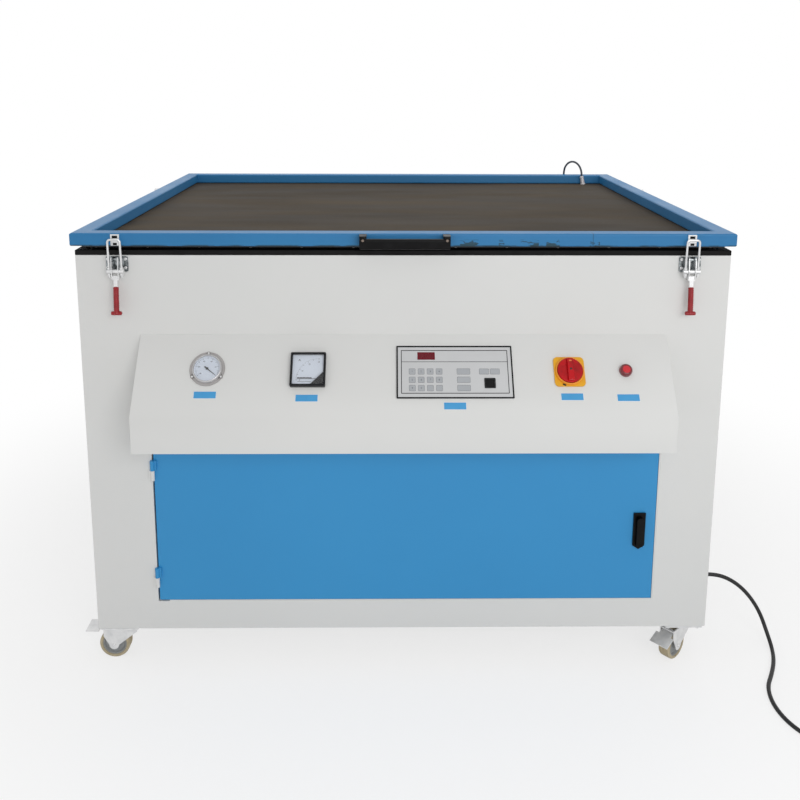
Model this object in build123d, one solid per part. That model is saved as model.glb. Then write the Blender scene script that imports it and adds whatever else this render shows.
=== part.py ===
from build123d import *
import os
from math import asin, atan2, cos, degrees, hypot, pi, radians, sin, sqrt, tan

# Screen printing exposure unit: a cabinet on casters with a glass top, under a hinged vacuum lid.
# Millimetres. X to the right, Y to the back, Z up, floor at z = 0, origin under the middle of the object.

# ---- driving dimensions: cabinet ----
body_width = 1500.0
body_depth = 1200.0
body_height = 940.0
caster_height = 100.0
sheet = 2.0
frame_tube = 40.0
frame_wall = 2.0
floor_sheet = 2.0

# ---- glass top and rim ----
rim_height = 12.0
rim_width = 21.0
glass_thickness = 10.0
glass_gap = 1.0

# ---- lid ----
lid_overhang = 8.0
lid_tube_width = 40.0
lid_tube_height = 30.0
lid_tube_wall = 2.0
lid_tube_round = 4.0
lid_gap = 10.0
blanket_thickness = 3.0
blanket_inset = 10.0
seal_inset = 30.0
seal_width = 20.0
seal_rest_gap = 0.3
clamp_width = 16.0
clamp_thickness = 3.0
clamp_seal_gap = 2.0
lid_open_angle = 60.0

# ---- lid hinges ----
hinge_offset = 16.0
hinge_knuckle_radius = 8.0
hinge_pin_radius = 4.0
hinge_width = 80.0
hinge_middle = 27.0
hinge_side_gap = 0.5
hinge_spacing = 500.0
hinge_leaf = 5.0
hinge_leaf_height = 60.0
hinge_strap = 4.0
hinge_running_gap = 0.05

# ---- gas springs ----
spring_arm = 350.0
spring_apex = 60.0
spring_lid_rise = 2.5
spring_out = 25.0
spring_stud_radius = 5.0
spring_eye_radius = 10.0
spring_eye_width = 14.0
spring_nut = 8.0
spring_nut_radius = 9.0
spring_cylinder_radius = 11.0
spring_bore_radius = 5.3
spring_rod_radius = 5.0
spring_cylinder_back = 28.0
spring_rod_back = 50.0

# ---- handle ----
handle_width = 205.0
handle_foot = 16.0
handle_height = 32.0
handle_reach = 34.0
handle_bar_height = 24.0
handle_bar_depth = 11.0
handle_screw_radius = 3.5

# ---- latches ----
latch_x = 655.0
latch_plate_width = 50.0
latch_plate_top = 2.0
latch_plate_height = 36.0
latch_plate_thickness = 3.0
latch_ear_inner = 3.5
latch_ear_thickness = 2.7
latch_cheek_inner = 6.5
latch_cheek_thickness = 2.0
latch_pivot_drop = 6.0
latch_pin_radius = 3.0
latch_throw = 28.0
latch_over_centre = 5.0
latch_release = 5.0
latch_open_angle = 75.0
latch_tilt_share = 0.56
bolt_rod_radius = 2.5
bolt_half_width = 14.0
bolt_corner = 6.0
bolt_length = 73.0
bolt_tail = 14.0
bolt_trunnion_radius = 5.0
bolt_trunnion_half = 19.0
bolt_nut_radius = 4.6
bolt_nut_height = 5.0
bolt_nut_seat = 4.2
latch_stem_width = 9.0
latch_stem_thickness = 4.0
latch_grip_radius = 5.5
latch_grip_top = 66.0
latch_grip_bottom = 124.0
latch_grip_flare = 11.0
latch_running_gap = 0.05
keeper_width = 20.0
keeper_thickness = 3.0
keeper_height = 26.0
keeper_ledge_thickness = 4.0
keeper_ledge_inset = 2.0
keeper_clearance = 0.3
keeper_bolt_gap = 1.0

# ---- console ----
console_width = 1221.0
console_depth = 122.0
console_top = 853.0
console_fold = 698.0
console_bottom = 612.0
console_back_width = 1100.0
console_back_bottom = 650.0
console_back_top = 800.0

# ---- instruments, placed on the console's slope: x, and distance down the slope ----
gauge_x = -448.0
gauge_down = 84.8
gauge_flange_radius = 41.0
gauge_flange_thickness = 3.0
gauge_case_radius = 31.0
gauge_case_depth = 30.0
gauge_bezel_radius = 34.0
gauge_bezel_wall = 4.5
gauge_bezel_height = 9.0
gauge_dial_height = 3.0
gauge_sweep = 270.0
gauge_rest_angle = -38.0
ammeter_x = -219.0
ammeter_down = 88.0
ammeter_side = 80.0
ammeter_height = 12.0
ammeter_bezel = 5.0
ammeter_face_height = 5.0
ammeter_body_radius = 27.0
ammeter_body_depth = 35.0
ammeter_pivot = 24.0
ammeter_needle_length = 44.0
timer_x = 114.0
timer_down = 92.8
timer_width = 265.0
timer_height = 125.0
timer_thickness = 4.0
timer_body_depth = 30.0
timer_body_margin = 14.0
rocker_x = 193.0
rocker_down = 119.6
rocker_width = 20.0
rocker_height = 18.0
rocker_thickness = 9.0
rocker_gap = 0.6
rocker_rim = 2.5
switch_x = 375.3
switch_down = 92.2
switch_plate_side = 70.0
switch_plate_thickness = 4.0
switch_collar_radius = 30.0
switch_collar_height = 8.0
switch_knob_radius = 26.5
switch_knob_height = 16.0
switch_shaft_radius = 4.0
switch_body_side = 48.0
switch_body_depth = 40.0
lamp_x = 504.5
lamp_down = 89.7
pilot_bezel_radius = 14.5
pilot_bezel_height = 5.0
pilot_lens_radius = 12.0
pilot_lens_height = 13.0
pilot_body_radius = 11.0
pilot_body_depth = 35.0
needle_thickness = 0.8
needle_hub_radius = 3.0
needle_gap = 0.4

# ---- door ----
door_centre_x = 8.0
door_width = 1206.0
door_bottom = 178.0
door_top = 578.0
door_gap = 4.0
door_flange = 12.0
door_sheet = 2.0
door_hinge_radius = 5.0
door_pin_radius = 3.0
door_hinge_out = 5.2
door_hinge_side = 2.5
door_hinge_half = 25.0
door_hinge_heights = (240.0, 518.0)
door_running_gap = 0.05
door_hinge_end_gap = 0.3

# ---- door lock ----
lock_inset = 39.0
lock_top = 405.0
lock_bottom = 311.0
lock_width = 29.0
lock_point = 10.0
lock_plate_thickness = 5.0
lock_spindle_z = 388.0
lock_spindle_radius = 5.0
lock_lever_width = 16.0
lock_lever_length = 66.0
lock_lever_thickness = 9.0
lock_lever_gap = 0.3
lock_cam_width = 18.0
lock_cam_length = 50.0
lock_cam_thickness = 3.0
lock_cam_gap = 1.0

# ---- casters ----
caster_inset_x = 52.0
caster_inset_y = 45.0
caster_plate = 90.0
caster_plate_thickness = 4.0
caster_race_radius = 29.0
caster_race_height = 9.0
caster_race_gap = 0.4
fork_top_radius = 27.0
fork_top_thickness = 4.0
fork_half_inside = 17.0
fork_cheek = 3.0
fork_trail = 25.0
fork_lead = 34.0
fork_tail = 50.0
fork_shoulder = 25.0
fork_end_radius = 12.0
wheel_radius = 37.5
wheel_width = 30.0
axle_radius = 4.0
axle_gap = 0.05
pedal_hinge_along = 42.0
pedal_hinge_z = 78.0
pedal_hinge_radius = 3.0
pedal_tail = 6.0
pedal_side_gap = 0.3
pedal_half_width = 15.5
pedal_thickness = 2.5
pedal_reach = 92.0
pedal_rise = 1.0
pedal_tip_half_width = 24.0
pedal_tip_start = 60.0
left_pedal_press = 0.0
right_pedal_press = 24.0
left_fork_heading = 180.0
right_fork_heading = 222.0

# ---- rear panel: fan and hose bulkhead ----
fan_x = 300.0
fan_z = 400.0
fan_duct_radius = 78.0
fan_frame_side = 172.0
fan_frame_depth = 50.0
fan_hub_radius = 26.0
fan_blade_radius = 74.0
fan_blade_count = 7
fan_blade_thickness = 2.0
fan_blade_pitch = 35.0
fan_rotor_depth = 30.0
fan_strut = 6.0
fan_motor_depth = 14.0
fan_shaft_radius = 4.0
fan_guard_wire = 2.0
fan_guard_rings = (22.0, 42.0, 62.0, 80.0)
bulkhead_x = 600.0
bulkhead_z = 900.0
bulkhead_radius = 6.5
bulkhead_flange_radius = 12.0
bulkhead_flange_thickness = 4.0
bulkhead_reach = 17.0
bulkhead_hub_radius = 6.2
bulkhead_hub_low = 7.5
bulkhead_hub_high = 9.0
bulkhead_barb_radius = 5.0
bulkhead_barb_height = 24.0

# ---- inside the cabinet ----
floor_height = 142.0
pump_x = -430.0
pump_y = 120.0
pump_motor_radius = 60.0
pump_motor_length = 190.0
pump_head_length = 120.0
pump_head_width = 130.0
pump_head_height = 150.0
pump_foot_height = 22.0
ballast_x = 430.0
ballast_y = 60.0
ballast_size = (200.0, 150.0, 120.0)
capacitor_radius = 28.0
capacitor_height = 120.0
contactor_size = (70.0, 90.0, 100.0)
gear_spacing = 40.0
reflector_length = 360.0
reflector_width = 320.0
reflector_floor_width = 150.0
reflector_depth = 110.0
reflector_sheet = 2.0
reflector_z = 400.0
reflector_leg = 20.0
lamp_tube_radius = 14.0
lamp_tube_length = 280.0
lamp_holder = 36.0

# ---- vacuum hose over the lid's rear bar ----
hose_diameter = 7.0
hose_loop_rise = 48.0
fitting_x = 656.0
fitting_inset = 50.0
fitting_base_radius = 10.0
fitting_base_height = 6.0
fitting_cone_height = 23.0
fitting_top_radius = 4.5

# ---- power cord ----
cord_diameter = 10.0
gland_y = 112.0
gland_z = 173.0
gland_radius = 12.0
gland_flange_radius = 15.0
gland_flange = 5.0
gland_length = 34.0
coil_x = 1010.0
coil_y = -250.0
coil_mean_radius = 58.0
coil_half_width = 15.0
coil_height = 20.0
plug_radius = 22.0
plug_length = 78.0
plug_boot_length = 34.0
plug_boot_radius = 9.0
plug_pin_radius = 3.0
plug_pin_length = 24.0
plug_pin_circle = 11.0
plug_start = 30.0

# ---- places that follow from these ----
body_bottom = caster_height
body_top = body_bottom + body_height
rim_top = body_top + rim_height
lid_bottom = rim_top + lid_gap
lid_top = lid_bottom + lid_tube_height
hinge_reach = hinge_offset + hinge_knuckle_radius
front_y = console_depth - (console_depth + body_depth + hinge_reach) / 2
rear_y = front_y + body_depth
middle_y = (front_y + rear_y) / 2
half_width = body_width / 2
inside_half = half_width - sheet
inside_front = front_y + sheet
inside_rear = rear_y - sheet
hinge_y = rear_y + hinge_offset
hinge_z = rim_top + lid_gap / 2
lid_front = front_y - lid_overhang
lid_rear = rear_y + lid_overhang
lid_half = half_width + lid_overhang
lock_x = door_centre_x + door_width / 2 - lock_inset

os.makedirs("parts", exist_ok=True)


def block(x0, x1, y0, y1, z0, z1):
    """A box between two corners."""
    size = (x1 - x0, y1 - y0, z1 - z0)
    centre = ((x0 + x1) / 2, (y0 + y1) / 2, (z0 + z1) / 2)
    return Pos(*centre) * Box(*size)


def rod(start, end, radius):
    """A round bar from one point to another."""
    along = Vector(*end) - Vector(*start)
    middle = (Vector(*start) + Vector(*end)) * 0.5
    return Plane(origin=middle, z_dir=along) * Cylinder(radius, along.length)


def profile_x(points, x0, x1):
    """A flat outline of (y, z) points, extruded along X from x0 to x1."""
    outline = Plane(origin=(x0, 0, 0), x_dir=(0, 1, 0), z_dir=(1, 0, 0)) * Polygon(*points, align=None)
    return extrude(outline, amount=x1 - x0, dir=(1, 0, 0))


def profile_y(points, y0, y1):
    """A flat outline of (x, z) points, extruded along Y from y0 to y1."""
    outline = Plane(origin=(0, y0, 0), x_dir=(1, 0, 0), z_dir=(0, -1, 0)) * Polygon(*points, align=None)
    return extrude(outline, amount=y1 - y0, dir=(0, 1, 0))


def profile_z(points, z0, z1):
    """A flat outline of (x, y) points, extruded along Z from z0 to z1."""
    outline = Pos(0, 0, z0) * Polygon(*points, align=None)
    return extrude(outline, amount=z1 - z0, dir=(0, 0, 1))


def square_tube(x0, x1, y0, y1, z0, z1, wall, axis):
    """A straight square tube with open ends, along the named axis."""
    inner = [wall, wall, wall]
    inner["xyz".index(axis)] = 0.0
    core = block(x0 + inner[0], x1 - inner[0], y0 + inner[1], y1 - inner[1], z0 + inner[2], z1 - inner[2])
    return block(x0, x1, y0, y1, z0, z1) - core


def mitred_ring(half_x, y0, y1, width, z0, z1):
    """Four bars round a rectangle, each cut at 45 degrees at its ends."""
    inner_x = half_x - width
    front = [(-half_x, y0), (half_x, y0), (inner_x, y0 + width), (-inner_x, y0 + width)]
    rear = [(half_x, y1), (-half_x, y1), (-inner_x, y1 - width), (inner_x, y1 - width)]
    left = [(-half_x, y1), (-half_x, y0), (-inner_x, y0 + width), (-inner_x, y1 - width)]
    right = [(half_x, y0), (half_x, y1), (inner_x, y1 - width), (inner_x, y0 + width)]
    return [profile_z(outline, z0, z1) for outline in (front, rear, left, right)]


def node(name, *solids):
    """Writes one piece, or a group of separate like pieces, to its own file."""
    flat = []
    for shape in solids:
        flat.extend(shape.solids())
    shape = flat[0] if len(flat) == 1 else Compound(children=flat)
    shape.label = name
    export_step(shape, f"parts/{name}.step")


# ---------------------------------------------------------------- cabinet
def inner_frame():
    """Welded square tubes: four posts, four bottom and four top rails, and the floor sheet on the bottom rails."""
    x_out, x_in = inside_half, inside_half - frame_tube
    y_out = (inside_front, inside_rear)
    y_in = (inside_front + frame_tube, inside_rear - frame_tube)
    tubes = []
    for side in (-1, 1):
        x0, x1 = sorted((side * x_out, side * x_in))
        for y0, y1 in ((y_out[0], y_in[0]), (y_in[1], y_out[1])):
            tubes.append(square_tube(x0, x1, y0, y1, body_bottom, body_top, frame_wall, "z"))
        for z0 in (body_bottom, body_top - frame_tube):
            tubes.append(square_tube(x0, x1, y_in[0], y_in[1], z0, z0 + frame_tube, frame_wall, "y"))
    for y0, y1 in ((y_out[0], y_in[0]), (y_in[1], y_out[1])):
        for z0 in (body_bottom, body_top - frame_tube):
            tubes.append(square_tube(-x_in, x_in, y0, y1, z0, z0 + frame_tube, frame_wall, "x"))
    rail_top = body_bottom + frame_tube
    floor = block(-x_in, x_in, y_out[0], y_out[1], rail_top, rail_top + floor_sheet)
    floor += block(-x_out, x_out, y_in[0], y_in[1], rail_top, rail_top + floor_sheet)
    node("inner_frame", *tubes, floor)


def door_opening():
    """Left, right, bottom and top of the doorway."""
    left = door_centre_x - door_width / 2 - door_gap
    right = door_centre_x + door_width / 2 + door_gap
    return left, right, door_bottom - door_gap, door_top + door_gap


def front_panel():
    """Front sheet with the doorway, whose edges are folded inwards, and an opening behind the console."""
    left, right, bottom, top = door_opening()
    panel = block(-half_width, half_width, front_y, front_y + sheet, body_bottom, body_top)
    fold_back = front_y + door_flange
    panel += block(left - sheet, right + sheet, front_y, fold_back, bottom - sheet, top + sheet)
    panel -= block(left, right, front_y - 1, fold_back + 1, bottom, top)
    half_back = console_back_width / 2
    panel -= block(-half_back, half_back, front_y - 1, fold_back + 1, console_back_bottom, console_back_top)
    node("front_panel", panel)


def side_panels():
    """Left and right side sheets, between the front and rear sheets, with the gland's hole on the right."""
    sheets = []
    for side in (-1, 1):
        x0, x1 = sorted((side * half_width, side * inside_half))
        sheets.append(block(x0, x1, inside_front, inside_rear, body_bottom, body_top))
    y = front_y + gland_y
    hole = rod((inside_half - 1, y, gland_z), (half_width + 1, y, gland_z), gland_radius)
    sheets[1] -= hole
    node("side_panels", *sheets)


def rear_panel():
    """Rear sheet with the fan's hole and the hole of the hose fitting."""
    panel = block(-half_width, half_width, inside_rear, rear_y, body_bottom, body_top)
    panel -= rod((fan_x, inside_rear - 1, fan_z), (fan_x, rear_y + 1, fan_z), fan_duct_radius)
    panel -= rod((bulkhead_x, inside_rear - 1, bulkhead_z), (bulkhead_x, rear_y + 1, bulkhead_z), bulkhead_radius)
    node("rear_panel", panel)


def top_rim_and_glass():
    """Black rim on the cabinet's top edge, and the glass plate that lies inside it on the top rails."""
    node("top_rim", *mitred_ring(half_width, front_y, rear_y, rim_width, body_top, rim_top))
    edge = rim_width + glass_gap
    glass = block(-half_width + edge, half_width - edge, front_y + edge, rear_y - edge,
                  body_top, body_top + glass_thickness)
    node("glass_plate", glass)


# ---------------------------------------------------------------- lid
def lid():
    """Frame of mitred tubes, the rubber blanket under it, the seal bead and the bars that clamp the blanket."""
    tubes = []
    for bar in mitred_ring(lid_half, lid_front, lid_rear, lid_tube_width, lid_bottom, lid_top):
        along = bar.edges().sort_by(lambda edge: edge.length)[-4:]
        tubes.append(fillet(along, lid_tube_round))
    core = mitred_ring(lid_half - lid_tube_wall, lid_front + lid_tube_wall, lid_rear - lid_tube_wall,
                       lid_tube_width - 2 * lid_tube_wall, lid_bottom + lid_tube_wall, lid_top - lid_tube_wall)
    node("lid_frame", *[tube - hollow for tube, hollow in zip(tubes, core)])

    blanket_half = half_width - blanket_inset
    blanket_bottom = lid_bottom - blanket_thickness
    blanket = block(-blanket_half, blanket_half, front_y + blanket_inset, rear_y - blanket_inset,
                    blanket_bottom, lid_bottom)
    node("rubber_blanket", blanket)

    glass_top = body_top + glass_thickness
    seal = mitred_ring(half_width - seal_inset, front_y + seal_inset, rear_y - seal_inset, seal_width,
                       glass_top + seal_rest_gap, blanket_bottom)
    node("lid_seal", *seal)

    clamp_inset = seal_inset - clamp_seal_gap - clamp_width
    clamps = mitred_ring(half_width - clamp_inset, front_y + clamp_inset, rear_y - clamp_inset, clamp_width,
                         blanket_bottom - clamp_thickness, blanket_bottom)
    node("blanket_clamps", *clamps)


def lid_handle():
    """Black bow handle on the lid's front tube: two feet, a bar between them and two screws."""
    middle_z = (lid_bottom + lid_top) / 2 - 1
    bar_z = middle_z - 3
    half = handle_width / 2
    back = lid_front
    front = lid_front - handle_reach
    bar = block(-half + 2, half - 2, front, front + handle_bar_depth,
                bar_z - handle_bar_height / 2, bar_z + handle_bar_height / 2)
    long_edges = bar.edges().filter_by(Axis.X)
    handle = fillet(long_edges, handle_bar_depth * 0.42)
    for side in (-1, 1):
        x0, x1 = sorted((side * half, side * (half - handle_foot)))
        foot = block(x0, x1, front + 2, back, middle_z - handle_height / 2 + 1, middle_z + handle_height / 2 - 1)
        outer = foot.faces().sort_by(Axis.Y)[0].edges()
        handle += fillet(outer, 4.0)
    for side in (-1, 1):
        x = side * (half - handle_foot / 2)
        handle += rod((x, front - 1.0, middle_z + 6), (x, front + 4, middle_z + 6), handle_screw_radius)
    node("lid_handle", handle)


def lid_hinges():
    """Three hinges: leaves on the rear panel with their pins, and straps on the lid's rear tube."""
    body_solids, lid_solids = [], []
    half = hinge_width / 2
    middle = hinge_middle / 2
    leaf_top = body_top + 5
    for x in (-hinge_spacing, 0.0, hinge_spacing):
        leaf = block(x - half, x + half, rear_y, rear_y + hinge_leaf, leaf_top - hinge_leaf_height, leaf_top)
        neck = [(rear_y, leaf_top - 20), (rear_y + hinge_leaf, leaf_top - 20),
                (hinge_y + hinge_knuckle_radius * 0.9, hinge_z - 3), (hinge_y - 4, hinge_z + 2),
                (rear_y + 3, leaf_top)]
        for x0, x1 in ((x - half, x - middle - hinge_side_gap), (x + middle + hinge_side_gap, x + half)):
            leaf += profile_x(neck, x0, x1)
            leaf += rod((x0, hinge_y, hinge_z), (x1, hinge_y, hinge_z), hinge_knuckle_radius)
        leaf -= rod((x - half - 1, hinge_y, hinge_z), (x + half + 1, hinge_y, hinge_z), hinge_pin_radius)
        pin = rod((x - half - 4, hinge_y, hinge_z), (x + half + 4, hinge_y, hinge_z), hinge_pin_radius)
        pin += rod((x - half - 4, hinge_y, hinge_z), (x - half, hinge_y, hinge_z), hinge_pin_radius + 2)
        body_solids += [leaf, pin]

        strap_bottom = hinge_z + hinge_knuckle_radius + 2
        strap = block(x - half, x + half, lid_rear, lid_rear + hinge_strap, strap_bottom, lid_top - 2)
        strap += block(x - middle, x + middle, lid_rear, lid_rear + hinge_strap, hinge_z, strap_bottom + 1)
        strap += rod((x - middle, hinge_y, hinge_z), (x + middle, hinge_y, hinge_z), hinge_knuckle_radius)
        strap -= rod((x - half, hinge_y, hinge_z), (x + half, hinge_y, hinge_z),
                     hinge_pin_radius + hinge_running_gap)
        lid_solids.append(strap)
    node("lid_hinge_leaves", *body_solids)
    node("lid_hinge_straps", *lid_solids)


def spring_points():
    """Lower and upper ends (y, z) of a gas spring, an isosceles triangle with the lid hinge at its apex."""
    lower = radians(spring_apex - spring_lid_rise)
    upper = radians(spring_lid_rise)
    low = (hinge_y - spring_arm * cos(lower), hinge_z - spring_arm * sin(lower))
    high = (hinge_y - spring_arm * cos(upper), hinge_z + spring_arm * sin(upper))
    return low, high


def gas_springs():
    """Two gas springs outside the side panels: studs on the panels and on the lid, cylinders and rods."""
    low, high = spring_points()
    closed = hypot(high[0] - low[0], high[1] - low[1])
    along = ((high[0] - low[0]) / closed, (high[1] - low[1]) / closed)
    body_studs, lid_studs = [], []
    for side, name in ((-1, "left"), (1, "right")):
        x = side * (half_width + spring_out)
        eye0, eye1 = sorted((x - spring_eye_width / 2, x + spring_eye_width / 2))
        outer = x + side * spring_eye_width / 2
        inner = x - side * spring_eye_width / 2
        tip = outer + side * spring_nut

        def at(distance):
            return (x, low[0] + along[0] * distance, low[1] + along[1] * distance)

        for studs, (y, z), seat in ((body_studs, low, half_width), (lid_studs, high, lid_half)):
            stud = rod((side * seat, y, z), (tip, y, z), spring_stud_radius)
            stud += rod((side * seat, y, z), (inner, y, z), spring_nut_radius)
            stud += rod((outer, y, z), (tip, y, z), spring_nut_radius)
            studs.append(stud)

        bore = spring_stud_radius + hinge_running_gap
        cylinder = rod((eye0, low[0], low[1]), (eye1, low[0], low[1]), spring_eye_radius)
        cylinder += rod(at(spring_eye_radius * 0.8), at(closed - spring_cylinder_back), spring_cylinder_radius)
        cylinder -= rod(at(spring_eye_radius + spring_cylinder_radius), at(closed), spring_bore_radius)
        clear_of_stud = spring_nut_radius + 1
        past = spring_out
        for x0, x1 in ((x - past, eye0), (eye1, x + past)):
            cylinder -= rod((x0, low[0], low[1]), (x1, low[0], low[1]), clear_of_stud)
        cylinder -= rod((x - past, low[0], low[1]), (x + past, low[0], low[1]), bore)
        node(f"gas_spring_cylinder_{name}", cylinder)

        piston_rod = rod(at(spring_rod_back), at(closed - spring_eye_radius * 0.8), spring_rod_radius)
        piston_rod += rod((eye0, high[0], high[1]), (eye1, high[0], high[1]), spring_eye_radius)
        piston_rod -= rod((x - past, high[0], high[1]), (x + past, high[0], high[1]), bore)
        node(f"gas_spring_rod_{name}", piston_rod)
    node("gas_spring_panel_studs", *body_studs)
    node("gas_spring_lid_studs", *lid_studs)


# ---------------------------------------------------------------- latches
def latch_points():
    """Pivot, closed trunnion and closed crossbar (y, z) of a latch, at full hook."""
    cross_y = lid_front - keeper_thickness - keeper_bolt_gap - bolt_rod_radius
    pivot_z = body_top - latch_pivot_drop
    pivot_y = cross_y - latch_throw * sin(radians(latch_over_centre))
    trunnion_z = pivot_z - latch_throw * cos(radians(latch_over_centre))
    return (pivot_y, pivot_z), (cross_y, trunnion_z), (cross_y, trunnion_z + bolt_length)


def turned(shape, at_y, at_z, angle):
    """Turns a shape about an axis along X through a point; positive swings its lower end outwards."""
    return Pos(0, at_y, at_z) * Rot(-angle, 0, 0) * Pos(0, -at_y, -at_z) * shape


def latches():
    """Two toggle latches, shown one release angle short of full hook, with their keepers on the lid."""
    pivot, trunnion, crossbar = latch_points()
    base_solids, keeper_solids = [], []
    plate_top = body_top - latch_plate_top
    plate_bottom = plate_top - latch_plate_height
    for side, name in ((-1, "left"), (1, "right")):
        x = side * latch_x
        half = latch_plate_width / 2
        plate_face = front_y - latch_plate_thickness
        base = block(x - half, x + half, plate_face, front_y, plate_bottom, plate_top)
        base = fillet(base.edges().filter_by(Axis.Y), 4.0)
        for ear in (-1, 1):
            ear_in = x + ear * latch_ear_inner
            ear_out = x + ear * (latch_ear_inner + latch_ear_thickness)
            e0, e1 = sorted((ear_in, ear_out))
            shape = block(e0, e1, pivot[0], plate_face, pivot[1] - 8, plate_top)
            shape += rod((e0, pivot[0], pivot[1]), (e1, pivot[0], pivot[1]), 6.0)
            base += shape
        for screw_x in (x - half + 5, x + half - 5):
            for screw_z in (plate_bottom + 8, plate_top - 8):
                base += rod((screw_x, plate_face - 2, screw_z), (screw_x, front_y, screw_z), 3.5)
        pin_half = latch_cheek_inner + latch_cheek_thickness + 1.0
        pin = rod((x - pin_half, pivot[0], pivot[1]), (x + pin_half, pivot[0], pivot[1]), latch_pin_radius)
        base_solids += [base - pin, pin]

        lever = None
        for cheek in (-1, 1):
            c0, c1 = sorted((x + cheek * latch_cheek_inner,
                             x + cheek * (latch_cheek_inner + latch_cheek_thickness)))
            outline = [(pivot[0] - 5, pivot[1]), (pivot[0] + 5, pivot[1]), (trunnion[0] + 6, trunnion[1]),
                       (trunnion[0] + 3, trunnion[1] - 18), (trunnion[0] - 3, trunnion[1] - 18),
                       (trunnion[0] - 8, trunnion[1])]
            plate = profile_x(outline, c0, c1)
            plate += rod((c0, pivot[0], pivot[1]), (c1, pivot[0], pivot[1]), 5.5)
            lever = plate if lever is None else lever + plate
        stem_top = trunnion[1] - 10
        stem_y = trunnion[0]
        bridge = latch_cheek_inner + latch_cheek_thickness
        lever += block(x - bridge, x + bridge, stem_y - 2, stem_y + 2, trunnion[1] - 20, stem_top)
        half_stem = latch_stem_width / 2
        half_thick = latch_stem_thickness / 2
        grip_top = pivot[1] - latch_grip_top
        grip_bottom = pivot[1] - latch_grip_bottom
        lever += block(x - half_stem, x + half_stem, stem_y - half_thick, stem_y + half_thick,
                       grip_top - 6, trunnion[1] - 16)
        grip = rod((x, stem_y, grip_bottom), (x, stem_y, grip_top), latch_grip_radius)
        grip += rod((x - latch_grip_flare, stem_y, grip_bottom), (x + latch_grip_flare, stem_y, grip_bottom),
                    latch_grip_radius * 0.75)
        lever += grip
        bore = latch_running_gap
        lever -= rod((x - 20, pivot[0], pivot[1]), (x + 20, pivot[0], pivot[1]), latch_pin_radius + bore)
        lever -= rod((x - 20, trunnion[0], trunnion[1]), (x + 20, trunnion[0], trunnion[1]),
                     bolt_trunnion_radius + bore)
        node(f"latch_lever_{name}", turned(lever, pivot[0], pivot[1], latch_release))

        cy, cz = crossbar
        arm_top = cz - bolt_corner
        arm_foot = trunnion[1] - bolt_tail
        path = FilletPolyline((x - bolt_half_width, cy, arm_foot), (x - bolt_half_width, cy, cz),
                              (x + bolt_half_width, cy, cz), (x + bolt_half_width, cy, arm_foot),
                              radius=bolt_corner)
        section = Plane(origin=path @ 0, z_dir=path % 0) * Circle(bolt_rod_radius)
        bolt = sweep(section, path=path)
        bolt += rod((x - bolt_trunnion_half, cy, trunnion[1]), (x + bolt_trunnion_half, cy, trunnion[1]),
                    bolt_trunnion_radius)
        for arm in (-1, 1):
            arm_x = x + arm * bolt_half_width
            for nut_z in (trunnion[1] - bolt_nut_seat - bolt_nut_height, trunnion[1] + bolt_nut_seat):
                hexagon = Pos(arm_x, cy, nut_z) * extrude(RegularPolygon(bolt_nut_radius, 6), amount=bolt_nut_height)
                bolt += hexagon
        moved = Vector(0, *trunnion)
        swing = radians(latch_over_centre - latch_release)
        rest_y = pivot[0] + latch_throw * sin(swing)
        rest_z = pivot[1] - latch_throw * cos(swing)
        tilted = turned(bolt, trunnion[0], trunnion[1], -latch_tilt_share * latch_release)
        node(f"latch_bolt_{name}", Pos(0, rest_y - moved.Y, rest_z - moved.Z) * tilted)

        half_keeper = keeper_width / 2
        plate_middle = (lid_bottom + lid_top) / 2
        keeper_face = lid_front - keeper_thickness
        keeper = block(x - half_keeper, x + half_keeper, keeper_face, lid_front,
                       plate_middle - keeper_height / 2, plate_middle + keeper_height / 2)
        ledge_top = cz - bolt_rod_radius - keeper_clearance
        nose = cy - bolt_rod_radius
        half_ledge = half_keeper - keeper_ledge_inset
        ledge = block(x - half_ledge, x + half_ledge, nose, keeper_face, ledge_top - keeper_ledge_thickness,
                      ledge_top)
        keeper_solids += [keeper, ledge]
    node("latch_bases", *base_solids)
    node("latch_keepers", *keeper_solids)


# ---------------------------------------------------------------- console and instruments
slope_run = hypot(console_depth, console_top - console_fold)
slope_normal = Vector(0, -(console_top - console_fold) / slope_run, console_depth / slope_run)


def on_slope(x, down, height=0.0):
    """A plane on the console's slope: its Z points outwards, its Y up the slope."""
    share = down / slope_run
    point = Vector(x, front_y - console_depth * share, console_top - (console_top - console_fold) * share)
    return Plane(origin=point + slope_normal * height, x_dir=(1, 0, 0), z_dir=slope_normal)


def disc(radius, low, high):
    """A disc of a local Z range on a local plane."""
    return Pos(0, 0, (low + high) / 2) * Cylinder(radius, high - low)


def pad(width, depth, low, high, corner=0.0):
    """A rectangular pad of a local Z range on a local plane, with round corners if given."""
    outline = RectangleRounded(width, depth, corner) if corner else Rectangle(width, depth)
    return Pos(0, 0, low) * extrude(outline, amount=high - low)


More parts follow.
